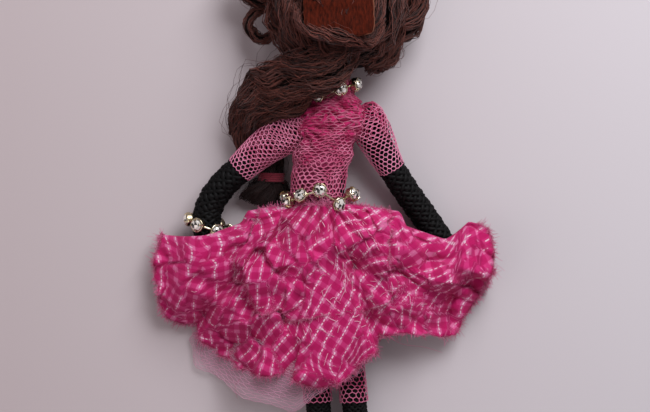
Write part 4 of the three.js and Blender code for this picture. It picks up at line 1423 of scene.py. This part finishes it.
@dataclass
class Bodice:
    """Bunched pink net round the torso, up to a collar."""

    waist_y: float = 23.8
    top_y: float = 55.2
    # Height up the doll, shift to its right, half width, half depth and height of the middle.
    sections: tuple = ((23.8, -0.9, 6.7, 5.8, 9.6), (27, -1.1, 6.4, 5.5, 9.6), (33, -0.6, 6.6, 5.6, 9.6),
                       (40, 0.8, 7.8, 5.9, 9.6), (44, 1.9, 9.2, 5.8, 9.6), (47, 2.5, 8.8, 5.4, 9.7),
                       (49.5, 2.9, 6.2, 4.6, 10), (52, 3.2, 4.1, 3.7, 10.5), (55.2, 3.5, 3.7, 3.5, 11))
    cells: tuple = (25, 44)  # of the net, round the torso and up it
    spread: tuple = (44.0, 34.0)  # size of the net laid flat
    bunches: tuple = ((7.8, 45.6), (-4.0, 43.6), (1.2, 48.5))  # where the net is drawn together on the back

    def middle(self, y: np.ndarray) -> tuple:
        """Gives shift, half width, half depth and height of the middle at a height up the doll."""
        knots = np.array(self.sections)
        return tuple(np.interp(y, knots[:, 0], knots[:, k]) for k in (1, 2, 3, 4))

    def skin(self, u: np.ndarray, v: np.ndarray, lift: float = 0.0) -> np.ndarray:
        """Gives points of the gathered surface.

        Args:
            u: Share round the torso, from its right side over its back.
            v: Share of the way up.
            lift: Height above the surface.

        Returns:
            The points.
        """
        y = mix(self.waist_y, self.top_y, v)
        x, wide, deep, z = self.middle(y)
        turn = TAU * u
        plain = np.stack([x + wide * np.cos(turn), y, z + deep * np.sin(turn)], -1)
        out = np.stack([np.cos(turn), np.zeros_like(turn), np.sin(turn)], -1)
        fold = 0.3 * np.sin(13 * turn + 3 * noise(plain, 7, 31)) * smooth(y, 46, 52)
        creases = np.abs(noise(plain * np.array([0.6, 1.6, 0.6]), 3.4, 32))
        fold = fold + 0.95 * (0.35 - creases) * mix(0.6, 1.2, smooth(y, 30, 42))
        fold = fold + 0.25 * noise(plain, 1.3, 33)
        for bx, by in self.bunches:
            dx, dy = plain[..., 0] - bx, plain[..., 1] - by
            far = np.hypot(dx, dy)
            rays = np.sin(10 * np.arctan2(dy, dx) + 2 * noise(plain, 5, 34))
            fold = fold + 0.6 * rays * bump(far, 3.6, 3.2) + 1.0 * bump(far, 0, 2.0)
        return plain + out * (fold + lift)[..., None]

    def net(self, shop: Workshop, number: int) -> Object:
        """Makes one layer of the open net, closer together towards the shoulders."""
        u, v, edges = honeycomb(*self.cells)
        flat = np.stack([u * self.spread[0], v * self.spread[1], np.full_like(u, 9.0 * number)], -1)
        u = u + 0.016 * noise(flat, 2.6, 41) + 0.011 * number
        v = np.clip(v + 0.016 * noise(flat, 2.6, 42), 0, 1)
        v = v * (1.45 - 0.45 * v)
        knots = self.skin(u, v, 0.2 - 0.3 * number)
        # The lower layer gets painted shade: its tone is a little lower.
        tone = 0.26 + 0.35 * noise(flat, 3, 43) - 0.1 * number
        return shop.thread(net_wires(f"bodice_net_{number}", knots, edges, {"tone": tone}), 0.17, shop.net)

    def build(self, shop: Workshop) -> None:
        """Makes the bunched base and two layers of open net on it."""
        rows, columns = 130, 150
        u, v = np.meshgrid(np.arange(columns) / columns, np.linspace(0, 1, rows))
        base = surface("bodice_gathers", self.skin(u, v, -0.25), grid_faces(rows, columns, True), shop.lining)
        mark(base, "tone", (0.1 + 0.75 * smooth(v, 0.15, 0.75)).ravel())
        thicken(base, 0.3)
        dress(base, "torso", "pink_net", "bodice")
        dress(joined("bodice_net", [self.net(shop, 0), self.net(shop, 1)]), "torso", "pink_net")


@dataclass
class Body:
    """The roll of black cloth inside the clothes, the head's black bag and the threads that tie them."""

    head: tuple = (4.0, 72.4, 12.7)
    head_radius: float = 13.2

    def build(self, shop: Workshop) -> None:
        """Makes the torso, the head and the ties."""
        spine = Route([(0, 16.5, 9.6), (0.3, 30, 9.6), (2.6, 46, 9.6), (3.4, 53, 10.6), (4, 58, 11.2)])
        shares = np.linspace(0, 1, 90)
        y = spine.at(shares)[:, 1]
        wide = np.interp(y, (16.5, 18, 40, 45, 50, 58), (4.4, 5.4, 5.5, 4.6, 2.4, 2.2))
        core = tube("torso_roll", spine, shares, np.stack([wide, 0.86 * wide], -1), shop.cloth)
        dress(core, "torso", "black_cloth", "torso_core")
        rows, columns = 90, 120
        out = globe(rows, columns, 0.02)[..., [0, 2, 1]]
        points = np.array(self.head) + self.head_radius * out
        points += 0.25 * out * noise(points, 4, 51)[..., None]
        points[..., 2] = np.maximum(points[..., 2], 0.15)
        faces = [face[::-1] for face in closed_faces(rows, columns)]
        cover = surface("head_bag", points, faces, shop.cloth)
        dress(cover, "head", "black_cloth", "head_cover", "head_stuffing")
        self.tie(shop, "neck_tie", (3.55, 55.6, 11.0), 3.0)
        self.tie(shop, "waist_tie", (0.0, 23.6, 9.6), 6.4)

    def tie(self, shop: Workshop, node: str, centre: tuple, radius: float) -> None:
        """Winds a doubled thread round the torso."""
        turn = np.linspace(0, TAU, 121)
        chains = []
        for phase in (0, math.pi):
            twist = 22 * turn + phase
            reach = radius + 0.24 * np.cos(twist)
            chains.append(np.array(centre) + np.stack([
                reach * np.cos(turn), 0.24 * np.sin(twist), reach * np.sin(turn)], -1))
        tone = np.full(sum(map(len, chains)), 0.4)
        thread = shop.thread(wires(node + "_thread", chains, {"tone": tone}), 0.27, shop.band, 6)
        dress(thread, "torso", "thread", node)


@dataclass
class Lock:
    """A bundle of wool along a route, made of smaller bundles that wind round each other."""

    route: Route
    width: object  # half width by share of the length
    depth: object  # half depth by share of the length
    bundles: int = 8
    winds: float = 0.6  # turns that the bundles make over the length
    seed: int = 0
    # From this share of the length on, the wool gets painted shade.
    dusk: float = 2.0  # share of the length from which the wool is dark

    def guides(self, start: float = 0.0, end: float = 1.0) -> tuple[list, dict]:
        """Gives the bundles' lines between two shares of the length, with each point's own width and rise."""
        rng = np.random.default_rng(SEED + self.seed)
        shares = np.linspace(start, end, 26)
        at, _, across, up = self.route.frames(shares)
        across = across * self.width(shares)[:, None]
        up = up * self.depth(shares)[:, None]
        chains, wide, high = [], [], []
        for i in range(self.bundles):
            phase = TAU * (i / self.bundles + self.winds * shares + 0.08 * rng.normal())[:, None]
            out = 0.45 + 0.36 * rng.random()
            thick = 0.2 + 0.17 * rng.random()
            spin = TAU * (1.4 * shares + rng.random())[:, None]
            line = at + out * (np.cos(phase) * across + np.sin(phase) * up)
            sway = np.stack([noise(line, 5.5, 70 + 5 * i + k + self.seed) for k in range(3)], -1)
            chains.append(line + 0.36 * self.width(shares)[:, None] * sway)
            wide.append(thick * MM * (np.cos(spin) * across + np.sin(spin) * up))
            high.append(thick * MM * (np.cos(spin) * up - np.sin(spin) * across))
        # Painted shade: the wool darkens from that share to the lock's end.
        dusk = np.tile(smooth(shares, self.dusk, self.dusk + 0.1), self.bundles)
        return chains, {"across": np.vstack(wide), "rise": np.vstack(high), "dusk": dusk}

    def strands(self, shop: Workshop, name: str, count: int, start: float = 0.0, end: float = 1.0,
                taper: float = 0.3) -> Object:
        """Makes the strands between two shares of the length, round a dark core that is painted shade of the
        lock's depths.
        """
        chains, marks = self.guides(start, end)
        wool = shop.comb(wires(name + "_wool", chains, marks), count, 3.0, 4.6, 0.14, taper)
        loose = {label: 2.6 * values for label, values in marks.items()}
        fuzz = shop.comb(wires(name + "_fuzz", chains, loose), max(count // 12, 2), 5, 6, 0.045, taper)
        shares = np.linspace(start, end, 60)
        half = 0.68 * np.stack([self.width(shares), self.depth(shares)], -1)
        half[[0, -1]] *= 0.3
        # The core is painted shade: the dark depth between the strands.
        core = tube(name + "_core", self.route, shares, half, shop.painted_wool_shade)
        return joined(name, [wool, fuzz, core])


@dataclass
class Curl:
    """A lock or curl of the hair: its name, its points, its size and the CAD node that it stands for."""

    name: str
    points: tuple
    radius: float
    bundles: int
    strands: int
    node: str | None = None


@dataclass
class Hair:
    """Dark brown wool: a cap combed back to the nape, locks at the sides, a curl and a tail."""

    centre: tuple = (4.2, 73.9, 13.7)
    reach: tuple = (15.6, 18.2, 14.7)
    face: float = 6.0
    gather: tuple = (4.5, 61.0, 21.5)
    tail: tuple = ((8, 63.2, 20.5), (1.4, 58.0, 21), (-6.4, 55.0, 18.5), (-14.2, 51.2, 13), (-17.9, 45.6, 8),
                   (-16.6, 39.4, 4.2), (-13.2, 33.6, 2.9), (-13.0, 30.2, 2.6), (-14.8, 24.4, 2.2))
    band_at: float = 0.885  # share of the tail's length
    band_half: tuple = (3.1, 2.0)  # half width and half depth of the band
    band_turns: int = 4
    band_length: float = 2.2
    nape: float = 58.2  # where the cap ends towards the feet
    curls: tuple = (
        Curl("right_lock_wool", ((17, 86, 12), (22, 79.5, 11.5), (23.6, 74.4, 10.5), (21.6, 70.2, 10),
                                 (17.4, 67, 11), (13.5, 64, 14), (9.5, 61.6, 18), (5, 59.4, 20)),
             3.5, 10, 34, "right_lock"),
        Curl("left_lock_wool", ((-8.5, 88, 12), (-15.5, 84.5, 11), (-19.8, 80.5, 10), (-18, 77.2, 9.7),
                                (-12, 75.6, 10), (-8.4, 72, 11)), 3.3, 10, 34, "left_lock"),
        Curl("left_curl_wool", ((-11, 74.2, 8.7), (-16, 72.6, 7.7), (-18.6, 69.3, 7.2), (-17.2, 66.3, 7.5),
                                (-14, 65.6, 8.7), (-11.8, 67.8, 9.7)), 1.25, 3, 40, "left_curl"),
        Curl("nape_curl_wool", ((18.4, 66.2, 10), (17.8, 62.6, 9.5), (15.8, 59.6, 9.5), (13, 58.8, 10.5),
                                (11, 60.4, 12)), 2.2, 5, 36),
        Curl("crown_lock_wool", ((-7, 83, 20), (-7.6, 74, 22.5), (-6, 67, 22.5), (-2, 61.5, 22),
                                 (3, 58.4, 21)), 3.0, 8, 36),
        Curl("nape_lock_wool", ((14.5, 70, 22), (12, 65.6, 22.6), (7, 62.6, 23), (1, 61.4, 22.6),
                                (-4, 58, 20.5)), 2.6, 8, 36),
        Curl("patch_lock_wool", ((-6.5, 72, 26), (-4.6, 67.2, 28.8), (0.5, 64.9, 29.8), (6.5, 63.6, 29.2),
                                 (12, 62.2, 26)), 1.4, 11, 22))

    def combed(self) -> tuple[list, dict]:
        """Gives the cap's guides, from the top of the head over its back and sides to the nape."""
        rng = np.random.default_rng(SEED)
        chains, wide, high = [], [], []
        t = np.linspace(0, 1, 22)
        for lean in np.radians(np.linspace(-24, 204, 70)):
            drift = 0.2 * rng.normal() * np.sin(math.pi * t)
            thick = 0.65 + 0.75 * rng.random()
            down = mix(0.1, 0.84, t) * math.pi
            around = lean + drift
            out = polar(down, around)
            line = np.array(self.centre) + (np.array(self.reach) + 0.8 * rng.normal()) * out
            pull = smooth(t, 0.62, 1.05) * smooth(math.sin(lean), 0.1, 0.6)
            line = mix(line, np.array(self.gather), pull[:, None])
            sway = np.stack([noise(line, 5, int(rng.integers(1000)) + k) for k in range(3)], -1)
            line = line + 2.0 * sway * np.array([1, 1, 0.5])
            line[:, 2] = np.maximum(line[:, 2], self.face + 0.4)
            chains.append(line)
            across = np.array([-math.sin(lean), 0, math.cos(lean)])
            wide.append(np.tile(thick * MM * across, (len(t), 1)))
            high.append(0.8 * thick * MM * unit(out))
        return chains, {"across": np.vstack(wide), "rise": np.vstack(high)}

    def cap(self, shop: Workshop) -> None:
        """Makes the cap."""
        chains, marks = self.combed()
        wool = shop.comb(wires("cap_wool", chains, marks), 20, 3.2, 5, 0.14, 0.2)
        rows, columns = 50, 90
        points = np.array(self.centre) + 0.95 * np.array(self.reach) * globe(rows, columns, 0.05)
        points[..., 2] = np.maximum(points[..., 2], self.face)
        points[..., 1] = np.maximum(points[..., 1], self.nape)
        # The cap's core is painted shade: the dark depth under the strands.
        core = surface("cap_core", points, closed_faces(rows, columns), shop.painted_wool_shade)
        dress(joined("wool_cap", [wool, core]), "head", "wool_hair", "hair_cap")

    def locks(self, shop: Workshop) -> None:
        """Makes the side locks and the curls."""
        for number, curl in enumerate(self.curls):
            def half(shares: np.ndarray, radius: float = curl.radius) -> np.ndarray:
                """Gives the lock's half width, drawn in at its ends."""
                return radius * (0.5 + 0.55 * np.sin(math.pi * np.clip(shares, 0, 1)))
            lock = Lock(Route(list(curl.points)), half, half, curl.bundles, 0.5, 17 * number)
            piece = lock.strands(shop, curl.name, curl.strands)
            dress(piece, "head", "wool_hair", *([curl.node] if curl.node else []))

    def ponytail(self, shop: Workshop) -> None:
        """Makes the tail over the left shoulder and its band, in an upper and a lower half."""
        def wide(shares: np.ndarray) -> np.ndarray:
            """Gives the tail's half width."""
            pinch = 1 - 0.45 * bump(shares, self.band_at, 0.05)
            full = 0.86 + 0.36 * bump(shares, 0.36, 0.2) + 0.4 * smooth(shares, 0.88, 1)
            return 5.4 * full * mix(0.7, 1, smooth(shares, 0, 0.15)) * pinch

        def deep(shares: np.ndarray) -> np.ndarray:
            """Gives the tail's half depth, flat where the arm lies on it."""
            return 3.6 * mix(1, 0.42, smooth(shares, 0.45, 0.75))

        # Past 0.78 of its length the tail gets painted shade, where the arm lies over it.
        lock = Lock(Route(list(self.tail)), wide, deep, 19, 0.7, 5, 0.78)
        upper = lock.strands(shop, "ponytail_upper", 50, 0.0, 0.35, 0.0)
        lower = lock.strands(shop, "ponytail_lower", 50, 0.33, 1.0, 0.5)
        turns = np.linspace(0, 1, 200)
        at, along, across, up = lock.route.frames(np.full_like(turns, self.band_at))
        phase = TAU * self.band_turns * turns
        wide_half, deep_half = self.band_half
        ring = (at + along * (self.band_length * (turns - 0.5))[:, None]
                + across * (wide_half * np.cos(phase))[:, None] + up * (deep_half * np.sin(phase))[:, None])
        ring[:, 2] = np.maximum(ring[:, 2], 0.4)
        tone = np.full(len(ring), 0.5)
        band = shop.thread(wires("ponytail_band_thread", [ring], {"tone": tone}), 0.34, shop.band, 6)
        metres = np.array(self.tail) * MM
        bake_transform(upper)
        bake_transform(lower)
        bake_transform(band)
        for piece in (upper, lower):
            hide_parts("ponytail")
        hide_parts("ponytail_band")

    def build(self, shop: Workshop) -> None:
        """Makes all the hair."""
        self.cap(shop)
        self.locks(shop)
        self.ponytail(shop)


@dataclass
class Patch:
    """The square of suede glued on the back of the head."""

    centre: tuple = (4.0, 72.4)
    side: float = 16.8
    bottom: float = 28.8
    top: float = 30.3
    turn: float = 0.05
    holes: tuple = ((-3.4, 2.1), (-3.5, 1.1))  # needle marks
    count: int = 120

    def build(self, shop: Workshop) -> None:
        """Makes the patch with a fibrous top and cut edges."""
        line = np.linspace(-1, 1, self.count)
        u, v = np.meshgrid(line, line, indexing="ij")
        corner = 0.09 * (np.abs(u) * np.abs(v)) ** 6
        half = self.side / 2
        x, y = u * half * (1 - corner), v * half * (1 - corner)
        flat = np.stack([x, y, np.zeros_like(x)], -1)
        ragged = 0.18 * noise(flat, 1.1, 61)
        x, y = x * (1 + ragged / half), y * (1 + ragged / half)
        c, s = math.cos(self.turn), math.sin(self.turn)
        place = np.stack([self.centre[0] + c * x - s * y, self.centre[1] + s * x + c * y], -1)
        rim = np.maximum(np.abs(u), np.abs(v))
        nap = 0.14 * noise(flat * np.array([1, 0.4, 1]), 0.8, 62) + 0.2 * noise(flat, 3, 63)
        z = self.top - 0.25 + nap - 0.25 * smooth(rim, 0.95, 1.0)
        for hx, hy in self.holes:
            z = z - 0.9 * bump(np.hypot(x - hx, y - hy), 0, 0.32)
        top = np.concatenate([place, z[..., None]], -1)
        low = np.concatenate([place, np.full_like(z, self.bottom)[..., None]], -1)
        n = self.count
        faces = [list(face)[::-1] for face in grid_faces(n, n, False)]
        faces += [[int(k) + n * n for k in face] for face in grid_faces(n, n, False)]
        ring = [*range(n), *range(2 * n - 1, n * n, n), *range(n * n - 2, n * n - n - 1, -1),
                *range(n * n - 2 * n, 0, -n)]
        faces += [[a, b, b + n * n, a + n * n][::-1] for a, b in zip(ring, ring[1:] + ring[:1])]
        patch = surface("suede_patch", np.concatenate([top, low]), faces, shop.suede)
        # The pale cut edge is strongest along the right side, which faces the lamp: partly the cut's own
        # colour and partly painted light.
        bare = mix(0.06, 0.9, smooth(u, 0.6, 1.0))
        cut = np.concatenate([(bare * smooth(rim, start, 1.0)).ravel() for start in (0.96, 0.9)])
        mark(patch, "cut", cut)
        dress(patch, "head", "leather_patch", "back_patch")


@dataclass
class CupChain:
    """Cut stones in plated cups, linked to a ring."""

    CLAWS = 4

    name: str
    body: str
    centre: tuple
    inner: float  # distance of the cups' backs from the centre
    stones: int
    start: float  # turn of the first stone
    wave: object = lambda i, turn: 0.0  # shift of a stone along the doll
    lean: object = lambda i: 0.0  # angle by which a stone faces along the doll

    def seats(self) -> tuple[np.ndarray, np.ndarray]:
        """Gives each cup's place and the way it faces."""
        at, face = [], []
        for i in range(self.stones):
            turn = self.start + TAU * i / self.stones
            out = math.cos(turn) * X + math.sin(turn) * Z
            at.append(np.array(self.centre) + self.inner * out + self.wave(i, turn) * Y)
            face.append(math.cos(self.lean(i)) * out + math.sin(self.lean(i)) * Y)
        return np.array(at), np.array(face)

    def cup(self, shop: Workshop) -> Object:
        """Turns one cup and sets its claws."""
        profile = np.array([(0.02, 0), (1.2, 0), (1.5, 0.2), (1.68, 0.7), (1.7, 1.35), (1.8, 1.5),
                            (1.8, 1.72), (1.62, 1.85), (1.46, 1.75), (1.4, 1.2), (0.02, 1.1)])
        sides = 24
        turn = np.arange(sides) * TAU / sides
        points = np.stack([np.outer(profile[:, 0], np.cos(turn)), np.outer(profile[:, 0], np.sin(turn)),
                           np.repeat(profile[:, 1:], sides, 1)], -1)
        cup = surface("cup", points, closed_faces(len(profile), sides), shop.plate)
        claws = []
        for k in range(self.CLAWS):
            angle = TAU * (k + 0.5) / self.CLAWS
            out = math.cos(angle) * X + math.sin(angle) * Y
            low, high = 1.72 * out + 1.2 * Z, 1.22 * out + 2.42 * Z
            claws.append(np.array([low, mix(low, high, 0.5) + 0.16 * (out + 0.3 * Z), high]))
        claw = shop.thread(wires("claws", claws), 0.27, shop.plate, 8, 0.35)
        return joined("cup", [cup, claw])

    def stone(self, shop: Workshop) -> Object:
        """Cuts one stone: a low point, stars, kites and a girdle."""
        def ring(count: int, radius: float, height: float, shift: float) -> np.ndarray:
            """Gives corners on a circle."""
            turn = (np.arange(count) + shift) * TAU / count
            return np.stack([radius * np.cos(turn), radius * np.sin(turn), np.full(count, height)], -1)
        points = np.vstack([ring(8, 0.86, 2.65, 0), ring(8, 1.2, 2.42, 0.5), ring(16, 1.46, 2.0, 0),
                            [[0, 0, 1.3], [0, 0, 2.78]]])
        faces = [[i, (i + 1) % 8, 33] for i in range(8)]
        for i in range(8):
            j, k = (i + 1) % 8, (i - 1) % 8
            faces += [[i, 8 + i, j], [i, 8 + k, 16 + 2 * i, 8 + i],
                      [8 + i, 16 + 2 * i, 16 + 2 * i + 1], [8 + i, 16 + 2 * i + 1, 16 + (2 * i + 2) % 16]]
        faces += [[16 + (i + 1) % 16, 16 + i, 32] for i in range(16)]
        stone = surface("stone", points, faces, shop.crystal)
        stone.data.shade_flat()
        # Painted reflections: each facet gets a random tone from near black to white.
        mark(stone, "tone", smooth(np.random.default_rng(SEED).random(len(faces)), 0.05, 0.6), "FACE")
        return stone

    def build(self, shop: Workshop) -> None:
        """Makes the chain's metal and its stones."""
        at, face = self.seats()
        rng = np.random.default_rng(SEED + self.stones)
        side = rng.normal(size=at.shape)
        none = np.zeros((0, 2), int)
        metal, glass = (net_wires(f"{self.name}_{what}", at, none, {"face": face, "side": side})
                        for what in ("settings", "crystals"))
        cup, stone = self.cup(shop), self.stone(shop)
        shop.seats.apply(metal, Shape=cup, Material=shop.plate)
        shop.seats.apply(glass, Shape=stone, Material=shop.crystal)
        for template in (cup, stone):
            bpy.data.objects.remove(template)
        hold = at + 0.9 * face
        chains = []
        for a, b in zip(hold, np.roll(hold, -1, 0)):
            way = unit(b - a)
            chains.append(np.array([a + 1.5 * way, (a + b) / 2, b - 1.5 * way]))
        links = shop.thread(wires("links", chains), 0.34, shop.plate, 8)
        settings = joined(f"{self.name}_settings", [metal, links])
        dress(settings, self.body, "silver_setting", f"{self.name}_chain")
        dress(glass, self.body, "crystal", *[f"{self.name}_stone_{i + 1}" for i in range(self.stones)])


@dataclass
class Studio:
    """Camera, lamps and floor."""

    centre: tuple = (0.75, 23.75, 10.0)
    distance: float = 420.0
    width: float = 162.5  # of the picture, at the centre's height
    sensor: float = 36.0
    # The floor's two colours carry painted shade: the left one is darker, away from the lamp.
    sheet: tuple = ("#bbafb0", "#c8c2c5")  # colours of the floor on the left and the right
    sheet_half: float = 3000.0
    sky: str = "#e0d8dd"
    sky_strength: float = 0.46

    def build(self) -> None:
        """Makes the camera straight above the doll, the floor and the light."""
        scene = bpy.context.scene
        scene.view_settings.view_transform = "Standard"
        lens = bpy.data.cameras.new("camera")
        lens.sensor_width = self.sensor
        lens.lens = self.sensor * self.distance / self.width
        lens.clip_start, lens.clip_end = 0.01, 10
        camera = new_object("camera", lens)
        x, y, z = self.centre
        camera.location = Vector((x, y, z + self.distance)) * MM
        scene.camera = camera
        self.floor()
        self.lamp("window", (160, 330, 345), 300, 2.45, "#f8faff")
        self.lamp("room", (-380, -120, 360), 500, 0.4, "#ffe8ea")
        world = bpy.data.worlds.new("studio")
        scene.world = world
        world.use_nodes = True
        tree = world.node_tree
        plug(tree, tree.nodes["Background"], {"Color": linear(self.sky), "Strength": self.sky_strength})

    def floor(self) -> None:
        """Lays the pale sheet on the table, with painted shade: darker on the left, away from the lamp."""
        material, tree, shader = new_material("pale_sheet")
        place = add_node(tree, "ShaderNodeTexCoord").outputs["Object"]
        along = add_node(tree, "ShaderNodeSeparateXYZ", inputs={0: place}).outputs[0]
        # Painted shade: the floor darkens towards the left.
        fade = remap(tree, along, -80 * MM, 80 * MM)
        plug(tree, shader, {"Base Color": tint(tree, fade, *self.sheet), "Roughness": 0.9})
        side = self.sheet_half
        corners = np.array([[-side, -side, 0], [side, -side, 0], [side, side, 0], [-side, side, 0]])
        surface("floor", corners, [[0, 1, 2, 3]], material)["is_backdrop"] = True

    def lamp(self, name: str, at: tuple, size: float, power: float, colour: str) -> None:
        """Hangs a soft square lamp that faces the doll.

        Args:
            name: The lamp's name.
            at: Its place.
            size: Its side.
            power: Watts.
            colour: Its tint.
        """
        light = bpy.data.lights.new(name, "AREA")
        light.size = size * MM
        light.energy = power
        light.color = linear(colour)[:3]
        lamp = new_object(name, light)
        lamp.location = Vector(at) * MM
        aim = Vector(self.centre) * MM - lamp.location
        lamp.rotation_euler = aim.to_track_quat("-Z", "Y").to_euler()


def main() -> None:
    """Builds the doll's looks in order."""
    logging.basicConfig(level=logging.INFO, format="%(name)s: %(message)s")
    Studio().build()
    shop = Workshop(
        threads=thread_tree(), strands=strand_tree(), seats=seat_tree(),
        gingham=Gingham().build(), tulle=Tulle().build(),
        tulle_thread=Yarn("tulle_thread", "#cc7a9c", "#e6b4ca", 0.7).build(),
        fray=Yarn("frayed_cotton_thread", "#b21c5e", "#e07ba6").build(),
        lurex=Yarn("pulled_metal_thread", "#c2487c", "#f6bcd4", 0.3, 0.0, 0.9).build(),
        net=Yarn("pink_nylon_net", "#9c164b", "#e893b2", 0.7, 0.05, 0.3).build(),
        lining=Yarn("bunched_pink_net", "#33061a", "#c92a6b", 0.8, 0.05, 0.2).build(),
        cord=Yarn("black_braided_cord", "#010101", "#0a0809", 0.65, 0.0, 0.16).build(),
        cloth=Yarn("black_cotton_cloth", "#020202", "#080708", 0.95, 0.0, 0.1).build(),
        wool=Yarn("dark_brown_wool", "#1f0b08", "#6a352a", 0.6, 0.06, 0.3).build(),
        painted_wool_shade=Yarn("wool_in_shade", "#0c0504", "#1e0e0b", 0.95, 0.0, 0.1).build(),
        band=Yarn("dark_red_thread", "#4e0c1a", "#961e38").build(),
        suede=Suede().build(), plate=Plating().build(), crystal=Crystal().build())
    Overskirt().build(shop)
    Petticoat().build(shop)
    Bodice().build(shop)
    Body().build(shop)
    Arm(Side.LEFT, (-2.2, 46.4, 9.8), (-5.682, 43.7, 9.6), (
        (-8.0, -4.8, 9.2), (-14.9, -10.6, 8.0), (-20.0, -15.6, 7.0), (-23.0, -20.9, 6.1), (-23.2, -28.4, 6.1),
        (-22.4, -33.8, 5.7)), sleeve_end=0.47, doubled=0.95, cord=3.2, sleeve=(4.5, 5.0, 3.6)).build(shop)
    Arm(Side.RIGHT, (8.6, 47.6, 9.8), (10.576, 45.9, 9.6), (
        (5.6, -10.4, 7.4), (11, -18.8, 5.0), (15.8, -25.4, 3.4), (22.2, -35, 3.2)),
        sleeve_end=0.39, doubled=0.7, cord=3.05, sleeve=(4.4, 4.8, 3.4)).build(shop)
    Leg(Side.LEFT, (-3.85, 16.2, 8.15), 0.068).build(shop)
    Leg(Side.RIGHT, (3.85, 16.2, 8.15), 0.102).build(shop)
    Hair().build(shop)
    Patch().build(shop)
    belt_shifts = (1.6, -0.1, -1.1, 0.2, -0.6, 0.5, 0.0, -0.4, 0.3, 0.5, -1.3)  # of its stones along the doll
    CupChain("belt", "torso", (-0.5, 26.0, 9.6), 7.4, 11, math.pi / 2,
             lambda i, turn: belt_shifts[i], lambda i: 0.35 * math.sin(1.7 * i)).build(shop)
    CupChain("necklace", "torso", (3.327, 52.28, 10.5), 4.13, 6, 0.3,
             lambda i, turn: 1.8 * math.cos(turn)).build(shop)
    CupChain("bracelet", "bracelet", (-28.682, 18.9, 6.1), 3.55, 6, 0.0,
             lambda i, turn: -0.8 * math.sin(turn) - 1.5 * math.cos(turn)).build(shop)
    faces = {piece.name: len(piece.data.polygons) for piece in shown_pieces()}
    for name, count in faces.items():
        log.info("%s: %d faces", name, count)
    log.info("%d faces in all", sum(faces.values()))


if __name__ == "__main__":
    main()
